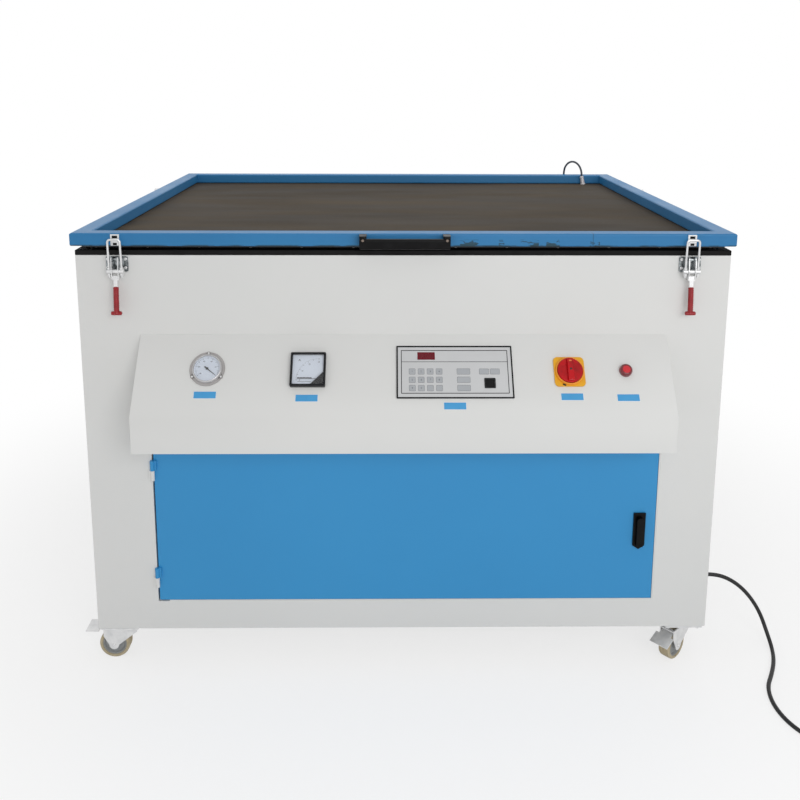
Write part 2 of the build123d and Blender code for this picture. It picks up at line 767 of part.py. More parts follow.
def console():
    """Folded sheet housing with the instruments' openings, open towards the front panel."""
    half = console_width / 2
    outline = [(front_y, console_bottom), (front_y, console_top), (front_y - console_depth, console_fold),
               (front_y - console_depth, console_bottom)]
    shell = profile_x(outline, -half, half)
    edge = sheet / cos(atan2(console_depth, console_top - console_fold))
    inner = [(front_y + 1, console_bottom + sheet), (front_y + 1, console_top - edge),
             (front_y, console_top - edge), (front_y - console_depth + sheet, console_fold - sheet),
             (front_y - console_depth + sheet, console_bottom + sheet)]
    shell -= profile_x(inner, -half + sheet, half - sheet)
    deep = 12.0
    shell -= on_slope(gauge_x, gauge_down) * disc(gauge_case_radius, -deep, 1)
    shell -= on_slope(ammeter_x, ammeter_down) * disc(ammeter_body_radius, -deep, 1)
    shell -= on_slope(timer_x, timer_down) * pad(timer_width - 2 * timer_body_margin,
                                                timer_height - 2 * timer_body_margin, -deep, 1)
    shell -= on_slope(switch_x, switch_down) * pad(switch_body_side, switch_body_side, -deep, 1)
    shell -= on_slope(lamp_x, lamp_down) * disc(pilot_body_radius, -deep, 1)
    node("console_housing", shell)


def vacuum_gauge():
    """Round gauge: flanged case with bezel ring and dial, and its pointer."""
    case = disc(gauge_flange_radius, 0, gauge_flange_thickness)
    case += disc(gauge_case_radius, -gauge_case_depth, gauge_flange_thickness)
    case += disc(gauge_bezel_radius, 0, gauge_bezel_height)
    case -= disc(gauge_bezel_radius - gauge_bezel_wall, gauge_dial_height, gauge_bezel_height + 1)
    for index in range(3):
        turn = Rot(0, 0, 120 * index + 30)
        place = (gauge_flange_radius + gauge_bezel_radius) / 2
        case += turn * Pos(place, 0, gauge_flange_thickness) * Cylinder(2.5, 2.4)
    node("gauge_case", on_slope(gauge_x, gauge_down) * case)

    low = gauge_dial_height + needle_gap
    reach = gauge_bezel_radius - gauge_bezel_wall - 5
    outline = Polygon((-8, -1.6), (-8, 1.6), (reach, 0.4), (reach, -0.4), align=None)
    needle = Pos(0, 0, low) * extrude(outline, amount=needle_thickness, dir=(0, 0, 1))
    needle += disc(needle_hub_radius, low, low + needle_thickness + 1)
    node("gauge_needle", on_slope(gauge_x, gauge_down) * Rot(0, 0, gauge_rest_angle) * needle)


def ammeter():
    """Square panel meter: case with bezel, face and corner cover, and its needle, which rests at zero."""
    half = ammeter_side / 2
    inner = ammeter_side - 2 * ammeter_bezel
    case = pad(ammeter_side, ammeter_side, 0, ammeter_height, 3.0)
    case -= pad(inner, inner, ammeter_face_height, ammeter_height + 1, 1.0)
    case += disc(ammeter_body_radius, -ammeter_body_depth, 0)
    corner = half - ammeter_bezel
    cover_low = ammeter_face_height + needle_gap * 2 + needle_thickness
    cover = Polygon((corner, -corner), (corner, -corner + 30), (corner - 30, -corner), align=None)
    case += Pos(0, 0, cover_low) * extrude(cover, amount=ammeter_height - cover_low, dir=(0, 0, 1))
    node("ammeter_case", on_slope(ammeter_x, ammeter_down) * case)

    low = ammeter_face_height + needle_gap
    outline = Polygon((0, -1.2), (0, 1.2), (-ammeter_needle_length, 0.35), (-ammeter_needle_length, -0.35),
                      align=None)
    needle = Pos(0, 0, low) * extrude(outline, amount=needle_thickness, dir=(0, 0, 1))
    needle += disc(needle_hub_radius, low, low + needle_thickness)
    place = on_slope(ammeter_x, ammeter_down) * Pos(ammeter_pivot, -ammeter_pivot, 0)
    node("ammeter_needle", place * needle)


def timer():
    """Timer panel with the rocker switch's frame, and the rocker."""
    panel = pad(timer_width, timer_height, 0, timer_thickness, 2.0)
    panel += pad(timer_width - 2 * timer_body_margin, timer_height - 2 * timer_body_margin,
                 -timer_body_depth, 0)
    offset = Pos(rocker_x - timer_x, timer_down - rocker_down, 0)
    frame_high = timer_thickness + 1.5
    panel += offset * pad(rocker_width + 2 * rocker_rim, rocker_height + 2 * rocker_rim, 0, frame_high)
    hole_low = timer_thickness - rocker_thickness
    panel -= offset * pad(rocker_width + 2 * rocker_gap, rocker_height + 2 * rocker_gap, hole_low, frame_high + 1)
    node("timer_panel", on_slope(timer_x, timer_down) * panel)

    rocker_high = frame_high + 1.0
    rocker_low = hole_low + 2.5
    rocker = pad(rocker_width, rocker_height, rocker_low, rocker_high)
    rocker = chamfer(rocker.faces().sort_by(Axis.Z)[0].edges().filter_by(Axis.X), 2.0)
    rocker = chamfer(rocker.faces().sort_by(Axis.Z)[-1].edges().filter_by(Axis.X), 1.0)
    node("timer_rocker", on_slope(rocker_x, rocker_down) * rocker)


def main_switch_and_lamp():
    """Main switch: plate with collar and contact block, and its knob. Beside it the pilot lamp."""
    plate = pad(switch_plate_side, switch_plate_side, 0, switch_plate_thickness, 10.0)
    plate += disc(switch_collar_radius, 0, switch_collar_height)
    plate += pad(switch_body_side, switch_body_side, -switch_body_depth, 0)
    bore = switch_shaft_radius + door_running_gap
    plate -= disc(bore, -switch_body_depth + 10, switch_collar_height + 1)
    node("main_switch_plate", on_slope(switch_x, switch_down) * plate)

    low = switch_collar_height + 0.5
    high = low + switch_knob_height
    knob = disc(switch_knob_radius, low, low + 6)
    knob += pad(14, 2 * switch_knob_radius - 4, low, high, 3.0)
    knob += disc(switch_shaft_radius, -switch_body_depth + 12, low + 1)
    node("main_switch_knob", on_slope(switch_x, switch_down) * knob)

    pilot = disc(pilot_bezel_radius, 0, pilot_bezel_height)
    lens = disc(pilot_lens_radius, 0, pilot_lens_height)
    pilot += fillet(lens.faces().sort_by(Axis.Z)[-1].edges(), 4.0)
    pilot += disc(pilot_body_radius, -pilot_body_depth, 0)
    node("pilot_lamp", on_slope(lamp_x, lamp_down) * pilot)


# ---------------------------------------------------------------- door
def door():
    """Door sheet with hinge sleeves and welded edge strips, fixed hinge halves, the lock's plate and lever."""
    left = door_centre_x - door_width / 2
    right = door_centre_x + door_width / 2
    back = front_y + door_sheet
    leaf = block(left, right, front_y, back, door_bottom, door_top)
    edges = []
    for x0, x1 in ((left, left + door_sheet), (right - door_sheet, right)):
        edges.append(block(x0, x1, back, front_y + door_flange, door_bottom, door_top))
    for z0, z1 in ((door_bottom, door_bottom + door_sheet), (door_top - door_sheet, door_top)):
        edges.append(block(left + door_sheet, right - door_sheet, back, front_y + door_flange, z0, z1))
    axis_x = left - door_hinge_side
    axis_y = front_y - door_hinge_out
    fixed = []
    for middle in door_hinge_heights:
        upper = (middle + door_hinge_end_gap, middle + door_hinge_half)
        lower = (middle - door_hinge_half, middle)
        leaf += rod((axis_x, axis_y, upper[0]), (axis_x, axis_y, upper[1]), door_hinge_radius)
        leaf += block(axis_x, left + 7, axis_y, front_y, upper[0], upper[1])
        leaf -= rod((axis_x, axis_y, upper[0] - 1), (axis_x, axis_y, upper[1] - 4),
                    door_pin_radius + door_running_gap)
        half = rod((axis_x, axis_y, lower[0]), (axis_x, axis_y, lower[1]), door_hinge_radius)
        half += block(axis_x - 9, axis_x, axis_y, front_y, lower[0], lower[1])
        pin = rod((axis_x, axis_y, lower[0] + 4), (axis_x, axis_y, upper[1] - 5), door_pin_radius)
        fixed += [half - pin, pin]
    hole = rod((lock_x, front_y - 1, lock_spindle_z), (lock_x, front_y + door_flange, lock_spindle_z),
               lock_spindle_radius + door_running_gap)
    node("door_panel", leaf - hole, *edges)
    node("door_hinge_posts", *fixed)

    half = lock_width / 2
    face = front_y - lock_plate_thickness
    outline = [(lock_x - half, lock_top), (lock_x - half, lock_bottom + lock_point), (lock_x, lock_bottom),
               (lock_x + half, lock_bottom + lock_point), (lock_x + half, lock_top)]
    plate = profile_y(outline, face, front_y)
    plate -= hole
    plate -= rod((lock_x, face - 1, lock_spindle_z), (lock_x, front_y + 1, lock_spindle_z),
                 lock_spindle_radius + door_running_gap)
    node("door_lock_plate", plate)

    lever_back = face - lock_lever_gap
    lever_front = lever_back - lock_lever_thickness
    half = lock_lever_width / 2
    end_z = lock_spindle_z - lock_lever_length
    lever = block(lock_x - half, lock_x + half, lever_front, lever_back, end_z, lock_spindle_z)
    lever += rod((lock_x, lever_front, lock_spindle_z), (lock_x, lever_back, lock_spindle_z), half)
    cam_front = front_y + door_flange + lock_cam_gap
    cam_back = cam_front + lock_cam_thickness
    lever += rod((lock_x, lever_front + 1, lock_spindle_z), (lock_x, cam_back, lock_spindle_z), lock_spindle_radius)
    lever += block(lock_x - lock_cam_width / 2, lock_x + lock_cam_width / 2, cam_front, cam_back,
                   lock_spindle_z - lock_cam_length, lock_spindle_z + lock_cam_width / 2)
    node("door_lock_lever", lever)


# ---------------------------------------------------------------- casters
def fork_solid(trail, tail):
    """A caster fork with its axle, swivel axis on Z, wheel trailing along +X under the cheeks' tail."""
    high = caster_height - caster_plate_thickness - caster_race_height - caster_race_gap
    fork = disc(fork_top_radius, high - fork_top_thickness, high)
    outside = fork_half_inside + fork_cheek
    outline = [(-fork_lead, high), (tail, high), (tail, high - fork_shoulder),
               (trail + fork_end_radius, wheel_radius), (trail - fork_end_radius, wheel_radius),
               (-fork_lead, high - fork_shoulder / 2)]
    for side in (-1, 1):
        y0, y1 = sorted((side * fork_half_inside, side * outside))
        fork += profile_y(outline, y0, y1)
        fork += rod((trail, y0, wheel_radius), (trail, y1, wheel_radius), fork_end_radius)
    cover_half = fork_top_radius * 0.6
    fork += block(-cover_half, cover_half, -outside, outside, high - fork_top_thickness, high)
    return fork + rod((trail, -outside - 3, wheel_radius), (trail, outside + 3, wheel_radius), axle_radius)


def wheel_solid(trail):
    """A caster wheel on the axle."""
    tyre = rod((trail, -wheel_width / 2, wheel_radius), (trail, wheel_width / 2, wheel_radius), wheel_radius)
    tyre = fillet(tyre.edges(), 5.0)
    return tyre - rod((trail, -wheel_width, wheel_radius), (trail, wheel_width, wheel_radius),
                      axle_radius + axle_gap)


def pedal_solid(press):
    """The brake pedal: a flared plate that turns on a pin between the fork's cheeks, pressed down by an angle."""
    half = pedal_thickness / 2
    z = pedal_hinge_z
    inner = pedal_hinge_along - pedal_tail
    slope = pedal_rise / (pedal_reach - inner)
    flare_z = z + slope * (pedal_tip_start - inner)
    plate = [(inner, z - half), (pedal_reach, z + pedal_rise - half), (pedal_reach, z + pedal_rise + half),
             (inner, z + half)]
    pedal = profile_y(plate, -pedal_half_width, pedal_half_width)
    flare = [(pedal_tip_start, flare_z - half), (pedal_reach, z + pedal_rise - half),
             (pedal_reach, z + pedal_rise + half), (pedal_tip_start, flare_z + half)]
    pedal += profile_y(flare, -pedal_tip_half_width, pedal_tip_half_width)
    reach = fork_half_inside - pedal_side_gap
    pedal += rod((pedal_hinge_along, -reach, z), (pedal_hinge_along, reach, z), pedal_hinge_radius)
    return Pos(pedal_hinge_along, 0, z) * Rot(0, press, 0) * Pos(-pedal_hinge_along, 0, -z) * pedal


def casters():
    """Two swivel casters with brake pedals in front and two fixed ones behind."""
    fixed = []
    x = half_width - caster_inset_x
    front = front_y + caster_inset_y
    rear = rear_y - caster_inset_y
    plate_bottom = caster_height - caster_plate_thickness
    for place_x, place_y in ((-x, front), (x, front), (-x, rear), (x, rear)):
        half = caster_plate / 2
        plate = block(place_x - half, place_x + half, place_y - half, place_y + half, plate_bottom, caster_height)
        low = plate_bottom - caster_race_height
        plate += rod((place_x, place_y, low), (place_x, place_y, plate_bottom), caster_race_radius)
        if place_y == rear:
            neck = low - caster_race_gap - 1
            plate += Pos(place_x, place_y, 0) * Rot(0, 0, 90) * fork_solid(0.0, fork_lead)
            plate += rod((place_x, place_y, neck), (place_x, place_y, low), fork_top_radius)
        fixed.append(plate)
    node("caster_plates", *fixed)
    for name, place_x, heading, press in (("left", -x, left_fork_heading, left_pedal_press),
                                          ("right", x, right_fork_heading, right_pedal_press)):
        place = Pos(place_x, front, 0) * Rot(0, 0, heading)
        node(f"caster_fork_front_{name}", place * fork_solid(fork_trail, fork_tail))
        node(f"caster_wheel_front_{name}", place * wheel_solid(fork_trail))
        node(f"brake_pedal_{name}", place * pedal_solid(press))
        node(f"caster_wheel_rear_{name}", Pos(place_x, rear, 0) * Rot(0, 0, 90) * wheel_solid(0.0))


# ---------------------------------------------------------------- fan and equipment inside
def fan():
    """Cooling fan behind the rear panel: frame with motor and struts, wire guard outside, and the rotor."""
    half = fan_frame_side / 2
    back = inside_rear
    front = back - fan_frame_depth
    frame = block(fan_x - half, fan_x + half, front, back, fan_z - half, fan_z + half)
    frame -= rod((fan_x, front - 1, fan_z), (fan_x, back + 1, fan_z), fan_duct_radius)
    motor_front = back - fan_motor_depth
    frame += rod((fan_x, motor_front, fan_z), (fan_x, back, fan_z), fan_hub_radius)
    strut = fan_strut / 2
    frame += block(fan_x - fan_duct_radius - 1, fan_x + fan_duct_radius + 1, back - fan_strut, back,
                   fan_z - strut, fan_z + strut)
    frame += block(fan_x - strut, fan_x + strut, back - fan_strut, back,
                   fan_z - fan_duct_radius - 1, fan_z + fan_duct_radius + 1)
    frame += rod((fan_x, front + 8, fan_z), (fan_x, back, fan_z), fan_shaft_radius)
    guard = None
    wire = fan_guard_wire / 2
    ring_y = rear_y + 2.5 * wire
    for radius in fan_guard_rings:
        ring = Plane(origin=(fan_x, ring_y, fan_z), z_dir=(0, 1, 0)) * Torus(radius, wire)
        guard = ring if guard is None else guard + ring
    span = fan_guard_rings[-1] + 4
    for angle in (45, 135):
        dx, dz = cos(radians(angle)) * span, sin(radians(angle)) * span
        y = rear_y + wire
        guard += rod((fan_x - dx, y, fan_z - dz), (fan_x + dx, y, fan_z + dz), wire)
    node("fan_housing", frame, guard)

    rotor_back = motor_front - 1.0
    rotor_front = rotor_back - fan_rotor_depth
    rotor = rod((fan_x, rotor_front, fan_z), (fan_x, rotor_back, fan_z), fan_hub_radius)
    middle = (rotor_front + rotor_back) / 2
    root = fan_hub_radius - 3
    blade_height = fan_blade_radius - root
    chord = (fan_rotor_depth - 4) / cos(radians(fan_blade_pitch))
    for index in range(fan_blade_count):
        blade = Pos(0, 0, root + blade_height / 2) * Rot(0, 0, fan_blade_pitch) * Box(
            fan_blade_thickness, chord, blade_height)
        rotor += Pos(fan_x, middle, fan_z) * Rot(0, 360.0 * index / fan_blade_count, 0) * blade
    rotor -= rod((fan_x, rotor_front - 1, fan_z), (fan_x, rotor_back + 1, fan_z), fan_shaft_radius + axle_gap)
    keep = rod((fan_x, rotor_front, fan_z), (fan_x, rotor_back, fan_z), fan_blade_radius)
    node("fan_rotor", rotor & keep)


def equipment():
    """Vacuum pump, lamp circuit and lamp on the cabinet floor."""
    y = middle_y + pump_y
    axis_z = floor_height + pump_foot_height + pump_motor_radius
    left = pump_x - pump_motor_length / 2
    right = pump_x + pump_motor_length / 2
    motor = rod((left, y, axis_z), (right, y, axis_z), pump_motor_radius)
    motor += block(left + 25, right - 15, y - 45, y + 45, floor_height, axis_z - pump_motor_radius + 14)
    half = pump_head_width / 2
    head = block(right, right + pump_head_length, y - half, y + half, floor_height, floor_height + pump_head_height)
    head = fillet(head.edges().filter_by(Axis.X), 12.0)
    node("vacuum_pump", motor, head)

    width, depth, height = ballast_size
    y = middle_y + ballast_y
    ballast = block(ballast_x - width / 2, ballast_x + width / 2, y - depth / 2, y + depth / 2,
                    floor_height, floor_height + height)
    cap_y = y + depth / 2 + gear_spacing + capacitor_radius
    cap = rod((ballast_x, cap_y, floor_height), (ballast_x, cap_y, floor_height + capacitor_height),
              capacitor_radius)
    box_w, box_d, box_h = contactor_size
    box_x = ballast_x - width / 2 + box_w / 2
    box_y = y - depth / 2 - gear_spacing - box_d / 2
    contactor = block(box_x - box_w / 2, box_x + box_w / 2, box_y - box_d / 2, box_y + box_d / 2,
                      floor_height, floor_height + box_h)
    node("lamp_ballast", ballast, cap, contactor)

    half_l = reflector_length / 2
    half_w = reflector_width / 2
    half_f = reflector_floor_width / 2
    low = reflector_z
    high = reflector_z + reflector_depth
    sheet_w = reflector_sheet
    inner_l = half_l - sheet_w
    side_w = sheet_w * hypot(reflector_depth, half_w - half_f) / reflector_depth
    parts = [block(-inner_l, inner_l, middle_y - half_f, middle_y + half_f, low, low + sheet_w)]
    for side in (-1, 1):
        foot, top = middle_y + side * half_f, middle_y + side * half_w
        slant = [(foot, low + sheet_w), (top, high), (top - side * side_w, high),
                 (foot - side * side_w, low + sheet_w)]
        parts.append(profile_x(slant, -inner_l, inner_l))
    cheek = [(middle_y - half_f, low), (middle_y + half_f, low), (middle_y + half_w, high),
             (middle_y - half_w, high)]
    for x0, x1 in ((-half_l, -inner_l), (inner_l, half_l)):
        parts.append(profile_x(cheek, x0, x1))
    leg = reflector_leg / 2
    for side_x in (-1, 1):
        for side_y in (-1, 1):
            x = side_x * (half_l - reflector_leg)
            y = middle_y + side_y * (half_f - reflector_leg)
            parts.append(block(x - leg, x + leg, y - leg, y + leg, floor_height, low))
    tube_z = low + reflector_depth / 2
    half_t = lamp_tube_length / 2
    parts.append(rod((-half_t, middle_y, tube_z), (half_t, middle_y, tube_z), lamp_tube_radius))
    for side in (-1, 1):
        x0, x1 = sorted((side * half_t, side * (half_t + lamp_holder)))
        half = lamp_holder / 2
        parts.append(block(x0, x1, middle_y - half, middle_y + half, low + sheet_w, tube_z + half))
    node("uv_lamp", *parts)


# ---------------------------------------------------------------- hose and cord
def swept_route(points, diameter, name):
    """A tube along straight runs joined by arcs as large as their runs allow. Prints radii, length and volume."""
    vectors = [Vector(*point) for point in points]
    runs = [b - a for a, b in zip(vectors, vectors[1:])]
    radii = []
    for before, after in zip(runs, runs[1:]):
        turn = radians(before.get_angle(after))
        radii.append(0.45 * min(before.length, after.length) / tan(turn / 2))
    path = FilletPolyline(*points, radius=radii)
    section = Plane(origin=path @ 0, z_dir=path % 0) * Circle(diameter / 2)
    tube = sweep(section, path=path)
    expected = pi * diameter ** 2 / 4 * path.length
    print(name, "length", round(path.length, 1), "volume ratio", round(tube.volume / expected, 5))
    print(name, "radii", [round(radius) for radius in radii], "runs", [round(run.length) for run in runs])
    return tube


def vacuum_hose():
    """Fitting on the blanket, the hose over the rear bar, and the bulkhead fitting in the rear panel."""
    y = rear_y - fitting_inset
    base = lid_bottom
    fitting = rod((fitting_x, y, base), (fitting_x, y, base + fitting_base_height), fitting_base_radius)
    top = base + fitting_base_height + fitting_cone_height
    cone = Pos(fitting_x, y, (base + fitting_base_height + top) / 2) * Cone(
        fitting_base_radius * 0.8, fitting_top_radius, fitting_cone_height)
    node("blanket_fitting", fitting + cone)

    out = rear_y + bulkhead_reach
    flange_out = rear_y + bulkhead_flange_thickness
    barb_top = bulkhead_z + bulkhead_barb_height
    elbow = rod((bulkhead_x, rear_y, bulkhead_z), (bulkhead_x, flange_out, bulkhead_z), bulkhead_flange_radius)
    elbow += rod((bulkhead_x, inside_rear - 12, bulkhead_z), (bulkhead_x, out, bulkhead_z), bulkhead_radius)
    elbow += rod((bulkhead_x, out, bulkhead_z - bulkhead_hub_low), (bulkhead_x, out, bulkhead_z + bulkhead_hub_high),
                 bulkhead_hub_radius)
    elbow += rod((bulkhead_x, out, bulkhead_z), (bulkhead_x, out, barb_top), bulkhead_barb_radius)
    node("hose_bulkhead", elbow)

    span_x = bulkhead_x - fitting_x
    span_y = out + 4 - y
    half = hypot(span_x, span_y) / 2
    shares = []
    for index in range(6):
        angle = radians(15 + 30 * index)
        shares.append((0.5 - 0.5 * cos(angle) / cos(radians(15)), sin(angle) / cos(radians(15))))
    base = top + hose_loop_rise - half
    loop = [(fitting_x + span_x * along, y + span_y * along, base + half * up) for along, up in shares]
    drop = loop[-1][2] - barb_top
    route = [
        (fitting_x, y, top),
        *loop,
        (bulkhead_x + 1, out + 5, loop[-1][2] - drop * 0.26),
        (bulkhead_x + 1, out + 4, loop[-1][2] - drop * 0.62),
        (bulkhead_x, out, barb_top + 30),
        (bulkhead_x, out, barb_top),
    ]
    node("vacuum_hose", swept_route(route, hose_diameter, "vacuum_hose"))


def power_cord():
    """Cable gland in the right side panel, the cord to the floor, its coil, and the plug."""
    y = front_y + gland_y
    start = half_width + gland_length
    gland = rod((inside_half - 10, y, gland_z), (half_width + gland_flange, y, gland_z), gland_radius)
    gland += rod((half_width, y, gland_z), (half_width + gland_flange, y, gland_z), gland_flange_radius)
    neck = Plane(origin=(half_width + gland_flange, y, gland_z), z_dir=(1, 0, 0)) * Pos(
        0, 0, (gland_length - gland_flange) / 2) * Cone(gland_radius - 2, cord_diameter / 2 + 1,
                                                       gland_length - gland_flange)
    node("cable_gland", gland + neck)

    rest = cord_diameter / 2
    coil_at = front_y + coil_y
    route = [
        (start, y, gland_z),
        (start + 26, y, gland_z),
        (start + 60, y - 1, gland_z - 10),
        (start + 94, y - 3, gland_z - 32),
        (start + 124, y - 6, gland_z - 64),
        (start + 148, y - 13, gland_z - 103),
        (start + 162, y - 28, gland_z - 146),
        (start + 162, y - 67, rest),
        (start + 145, y - 117, rest),
        (start + 118, y - 166, rest),
        (start + 88, y - 212, rest),
        (start + 76, y - 274, rest),
        (start + 88, y - 338, rest),
        (start + 126, y - 392, rest),
        (coil_x - 60, coil_at - 66, rest),
        (coil_x - 8, coil_at - 66, rest),
    ]
    node("power_cord", swept_route(route, cord_diameter, "power_cord"))

    outer = coil_mean_radius + coil_half_width
    inner = coil_mean_radius - coil_half_width
    coil = Pos(coil_x, coil_at, coil_height / 2) * (Cylinder(outer, coil_height) - Cylinder(inner, coil_height + 2))
    node("power_cord_coil", coil)

    x = coil_x + outer - cord_diameter / 2
    plug_y = coil_at + plug_start
    z = plug_radius
    boot_end = plug_y + plug_boot_length
    boot = Plane(origin=(x, (plug_y + boot_end) / 2, z), z_dir=(0, 1, 0)) * Cone(
        cord_diameter / 2 + 1, plug_boot_radius, plug_boot_length)
    body = rod((x, boot_end, z), (x, boot_end + plug_length, z), plug_radius)
    body = fillet(body.edges(), 3.0)
    plug = boot + body
    for index in range(3):
        angle = radians(120 * index + 90)
        pin_x, pin_z = x + plug_pin_circle * cos(angle), z + plug_pin_circle * sin(angle)
        end = boot_end + plug_length
        plug += rod((pin_x, end - 2, pin_z), (pin_x, end + plug_pin_length, pin_z), plug_pin_radius)
    node("power_plug", plug)


inner_frame()
front_panel()
side_panels()
rear_panel()
top_rim_and_glass()
lid()
lid_handle()
lid_hinges()
gas_springs()
latches()
console()
vacuum_gauge()
ammeter()
timer()
main_switch_and_lamp()
door()
casters()
fan()
equipment()
vacuum_hose()
power_cord()
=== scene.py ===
from math import cos, hypot, pi, radians, sin

import bmesh
import bpy
from mathutils import Matrix, Vector, noise


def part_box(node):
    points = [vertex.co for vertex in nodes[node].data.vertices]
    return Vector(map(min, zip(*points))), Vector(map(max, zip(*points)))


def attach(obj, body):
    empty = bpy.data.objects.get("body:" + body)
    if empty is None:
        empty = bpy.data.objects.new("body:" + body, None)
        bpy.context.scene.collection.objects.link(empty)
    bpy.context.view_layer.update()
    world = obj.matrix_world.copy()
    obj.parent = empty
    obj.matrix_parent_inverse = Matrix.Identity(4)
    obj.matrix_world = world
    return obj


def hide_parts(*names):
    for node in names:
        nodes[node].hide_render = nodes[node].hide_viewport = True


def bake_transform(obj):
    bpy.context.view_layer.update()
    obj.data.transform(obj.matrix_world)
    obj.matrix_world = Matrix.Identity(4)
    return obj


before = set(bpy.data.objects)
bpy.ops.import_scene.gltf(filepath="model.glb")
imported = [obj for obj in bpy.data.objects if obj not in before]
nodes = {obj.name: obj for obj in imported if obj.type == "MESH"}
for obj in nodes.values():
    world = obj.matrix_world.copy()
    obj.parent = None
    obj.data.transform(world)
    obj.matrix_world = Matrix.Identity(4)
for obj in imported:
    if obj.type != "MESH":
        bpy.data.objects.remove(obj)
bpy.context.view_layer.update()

# ------------------------------------------------------------------ studio: camera, floor and lamps
# Not part of the unit: a pale floor that turns white with distance, a white surround and three large
# soft lamps. The camera stands where the picture of the unit was taken from, a little above the lid.
camera_yaw, camera_pitch, camera_roll = 0.01256, 0.180198, 0.003536
ahead = Vector((sin(camera_yaw) * cos(camera_pitch), cos(camera_yaw) * cos(camera_pitch), -sin(camera_pitch)))
level = Vector((cos(camera_yaw), -sin(camera_yaw), 0))
above = level.cross(ahead)
camera_right = level * cos(camera_roll) + above * sin(camera_roll)
camera_up = above * cos(camera_roll) - level * sin(camera_roll)
camera_data = bpy.data.cameras.new("studio_camera")
camera_data.lens = 36 * 887 / 800
camera_data.shift_x = (400 - 399.11) / 800
camera_data.shift_y = (234.63 - 400) / 800
camera = bpy.data.objects.new("studio_camera", camera_data)
bpy.context.scene.collection.objects.link(camera)
turn = Matrix((camera_right, camera_up, -ahead)).transposed().to_4x4()
camera.matrix_world = Matrix.Translation((-0.0377, -2.5367, 1.450)) @ turn
bpy.context.scene.camera = camera
bpy.context.scene.view_settings.view_transform = "Standard"


def soft_lamp(name, place, aim, size, watts):
    data = bpy.data.lights.new(name, "AREA")
    data.shape, data.size, data.size_y, data.energy = "RECTANGLE", size[0], size[1], watts
    lamp = bpy.data.objects.new(name, data)
    facing = (Vector(aim) - Vector(place)).to_track_quat("-Z", "Y").to_matrix().to_4x4()
    lamp.matrix_world = Matrix.Translation(place) @ facing
    bpy.context.scene.collection.objects.link(lamp)


soft_lamp("lamp_key", (1.0, -3.6, 1.9), (0.25, -0.3, 0.5), (2.2, 1.6), 39)
soft_lamp("lamp_fill", (-3.2, -3.0, 1.6), (0, 0, 0.5), (2.4, 2.4), 3)
soft_lamp("lamp_top", (0.3, 0.9, 4.2), (0, 0, 0.8), (3.0, 3.0), 32)


def new_material(name):
    """A material and its node tree, holding only its output."""
    made = bpy.data.materials.new(name)
    made.use_nodes = True
    made.node_tree.nodes.clear()
    made.node_tree.nodes.new("ShaderNodeOutputMaterial")
    return made, made.node_tree


def link(tree, source, output, target, socket):
    tree.links.new(source.outputs[output], target.inputs[socket])


def either(tree, *rays):
    """The sum, cut off at 1, of some of the Light Path's outputs."""
    path, total = tree.nodes.new("ShaderNodeLightPath"), tree.nodes.new("ShaderNodeMath")
    total.operation, total.use_clamp = "ADD", True
    total.inputs[1].default_value = 0
    for socket, ray in enumerate(rays[:2]):
        link(tree, path, ray, total, socket)
    if len(rays) == 3:
        last = tree.nodes.new("ShaderNodeMath")
        last.operation, last.use_clamp = "ADD", True
        link(tree, total, 0, last, 0)
        link(tree, path, rays[2], last, 1)
        total = last
    return total


world = bpy.data.worlds.new("white_surround")
bpy.context.scene.world = world
world.use_nodes = True
tree = world.node_tree
tree.nodes.clear()
sky_output = tree.nodes.new("ShaderNodeOutputWorld")
seen, lighting = tree.nodes.new("ShaderNodeBackground"), tree.nodes.new("ShaderNodeBackground")
lighting.inputs["Strength"].default_value = 0.52
choose = tree.nodes.new("ShaderNodeMixShader")
for shade in (seen, lighting):
    shade.inputs["Color"].default_value = (1, 1, 1, 1)
link(tree, either(tree, "Is Camera Ray", "Is Glossy Ray", "Is Transmission Ray"), 0, choose, 0)
link(tree, lighting, 0, choose, 1)
link(tree, seen, 0, choose, 2)
link(tree, choose, 0, sky_output, "Surface")

floor_paint, tree = new_material("studio_floor")
matte, white = tree.nodes.new("ShaderNodeBsdfDiffuse"), tree.nodes.new("ShaderNodeEmission")
matte.inputs["Color"].default_value = (0.93, 0.93, 0.93, 1)
place, reach = tree.nodes.new("ShaderNodeTexCoord"), tree.nodes.new("ShaderNodeVectorMath")
reach.operation = "LENGTH"
fade, seen_white = tree.nodes.new("ShaderNodeMapRange"), tree.nodes.new("ShaderNodeMath")
fade.inputs["From Min"].default_value, fade.inputs["From Max"].default_value = 0.9, 2.1
fade.inputs["To Min"].default_value = 0.7
fade.interpolation_type, seen_white.operation = "SMOOTHSTEP", "MULTIPLY"
choose = tree.nodes.new("ShaderNodeMixShader")
link(tree, place, "Object", reach, 0)
link(tree, reach, "Value", fade, "Value")
link(tree, either(tree, "Is Camera Ray", "Is Glossy Ray"), 0, seen_white, 0)
link(tree, fade, "Result", seen_white, 1)
link(tree, seen_white, 0, choose, 0)
link(tree, matte, 0, choose, 1)
link(tree, white, 0, choose, 2)
link(tree, choose, 0, tree.nodes["Material Output"], "Surface")


def as_object(name, mesh_maker):
    """A mesh object whose shape is drawn by mesh_maker in an empty bmesh."""
    drawn = bmesh.new()
    mesh_maker(drawn)
    mesh = bpy.data.meshes.new(name)
    drawn.to_mesh(mesh)
    drawn.free()
    made = bpy.data.objects.new(name, mesh)
    bpy.context.scene.collection.objects.link(made)
    return made


floor = as_object("studio_floor", lambda b: bmesh.ops.create_circle(b, cap_ends=True, segments=96, radius=14))
floor.data.materials.append(floor_paint)


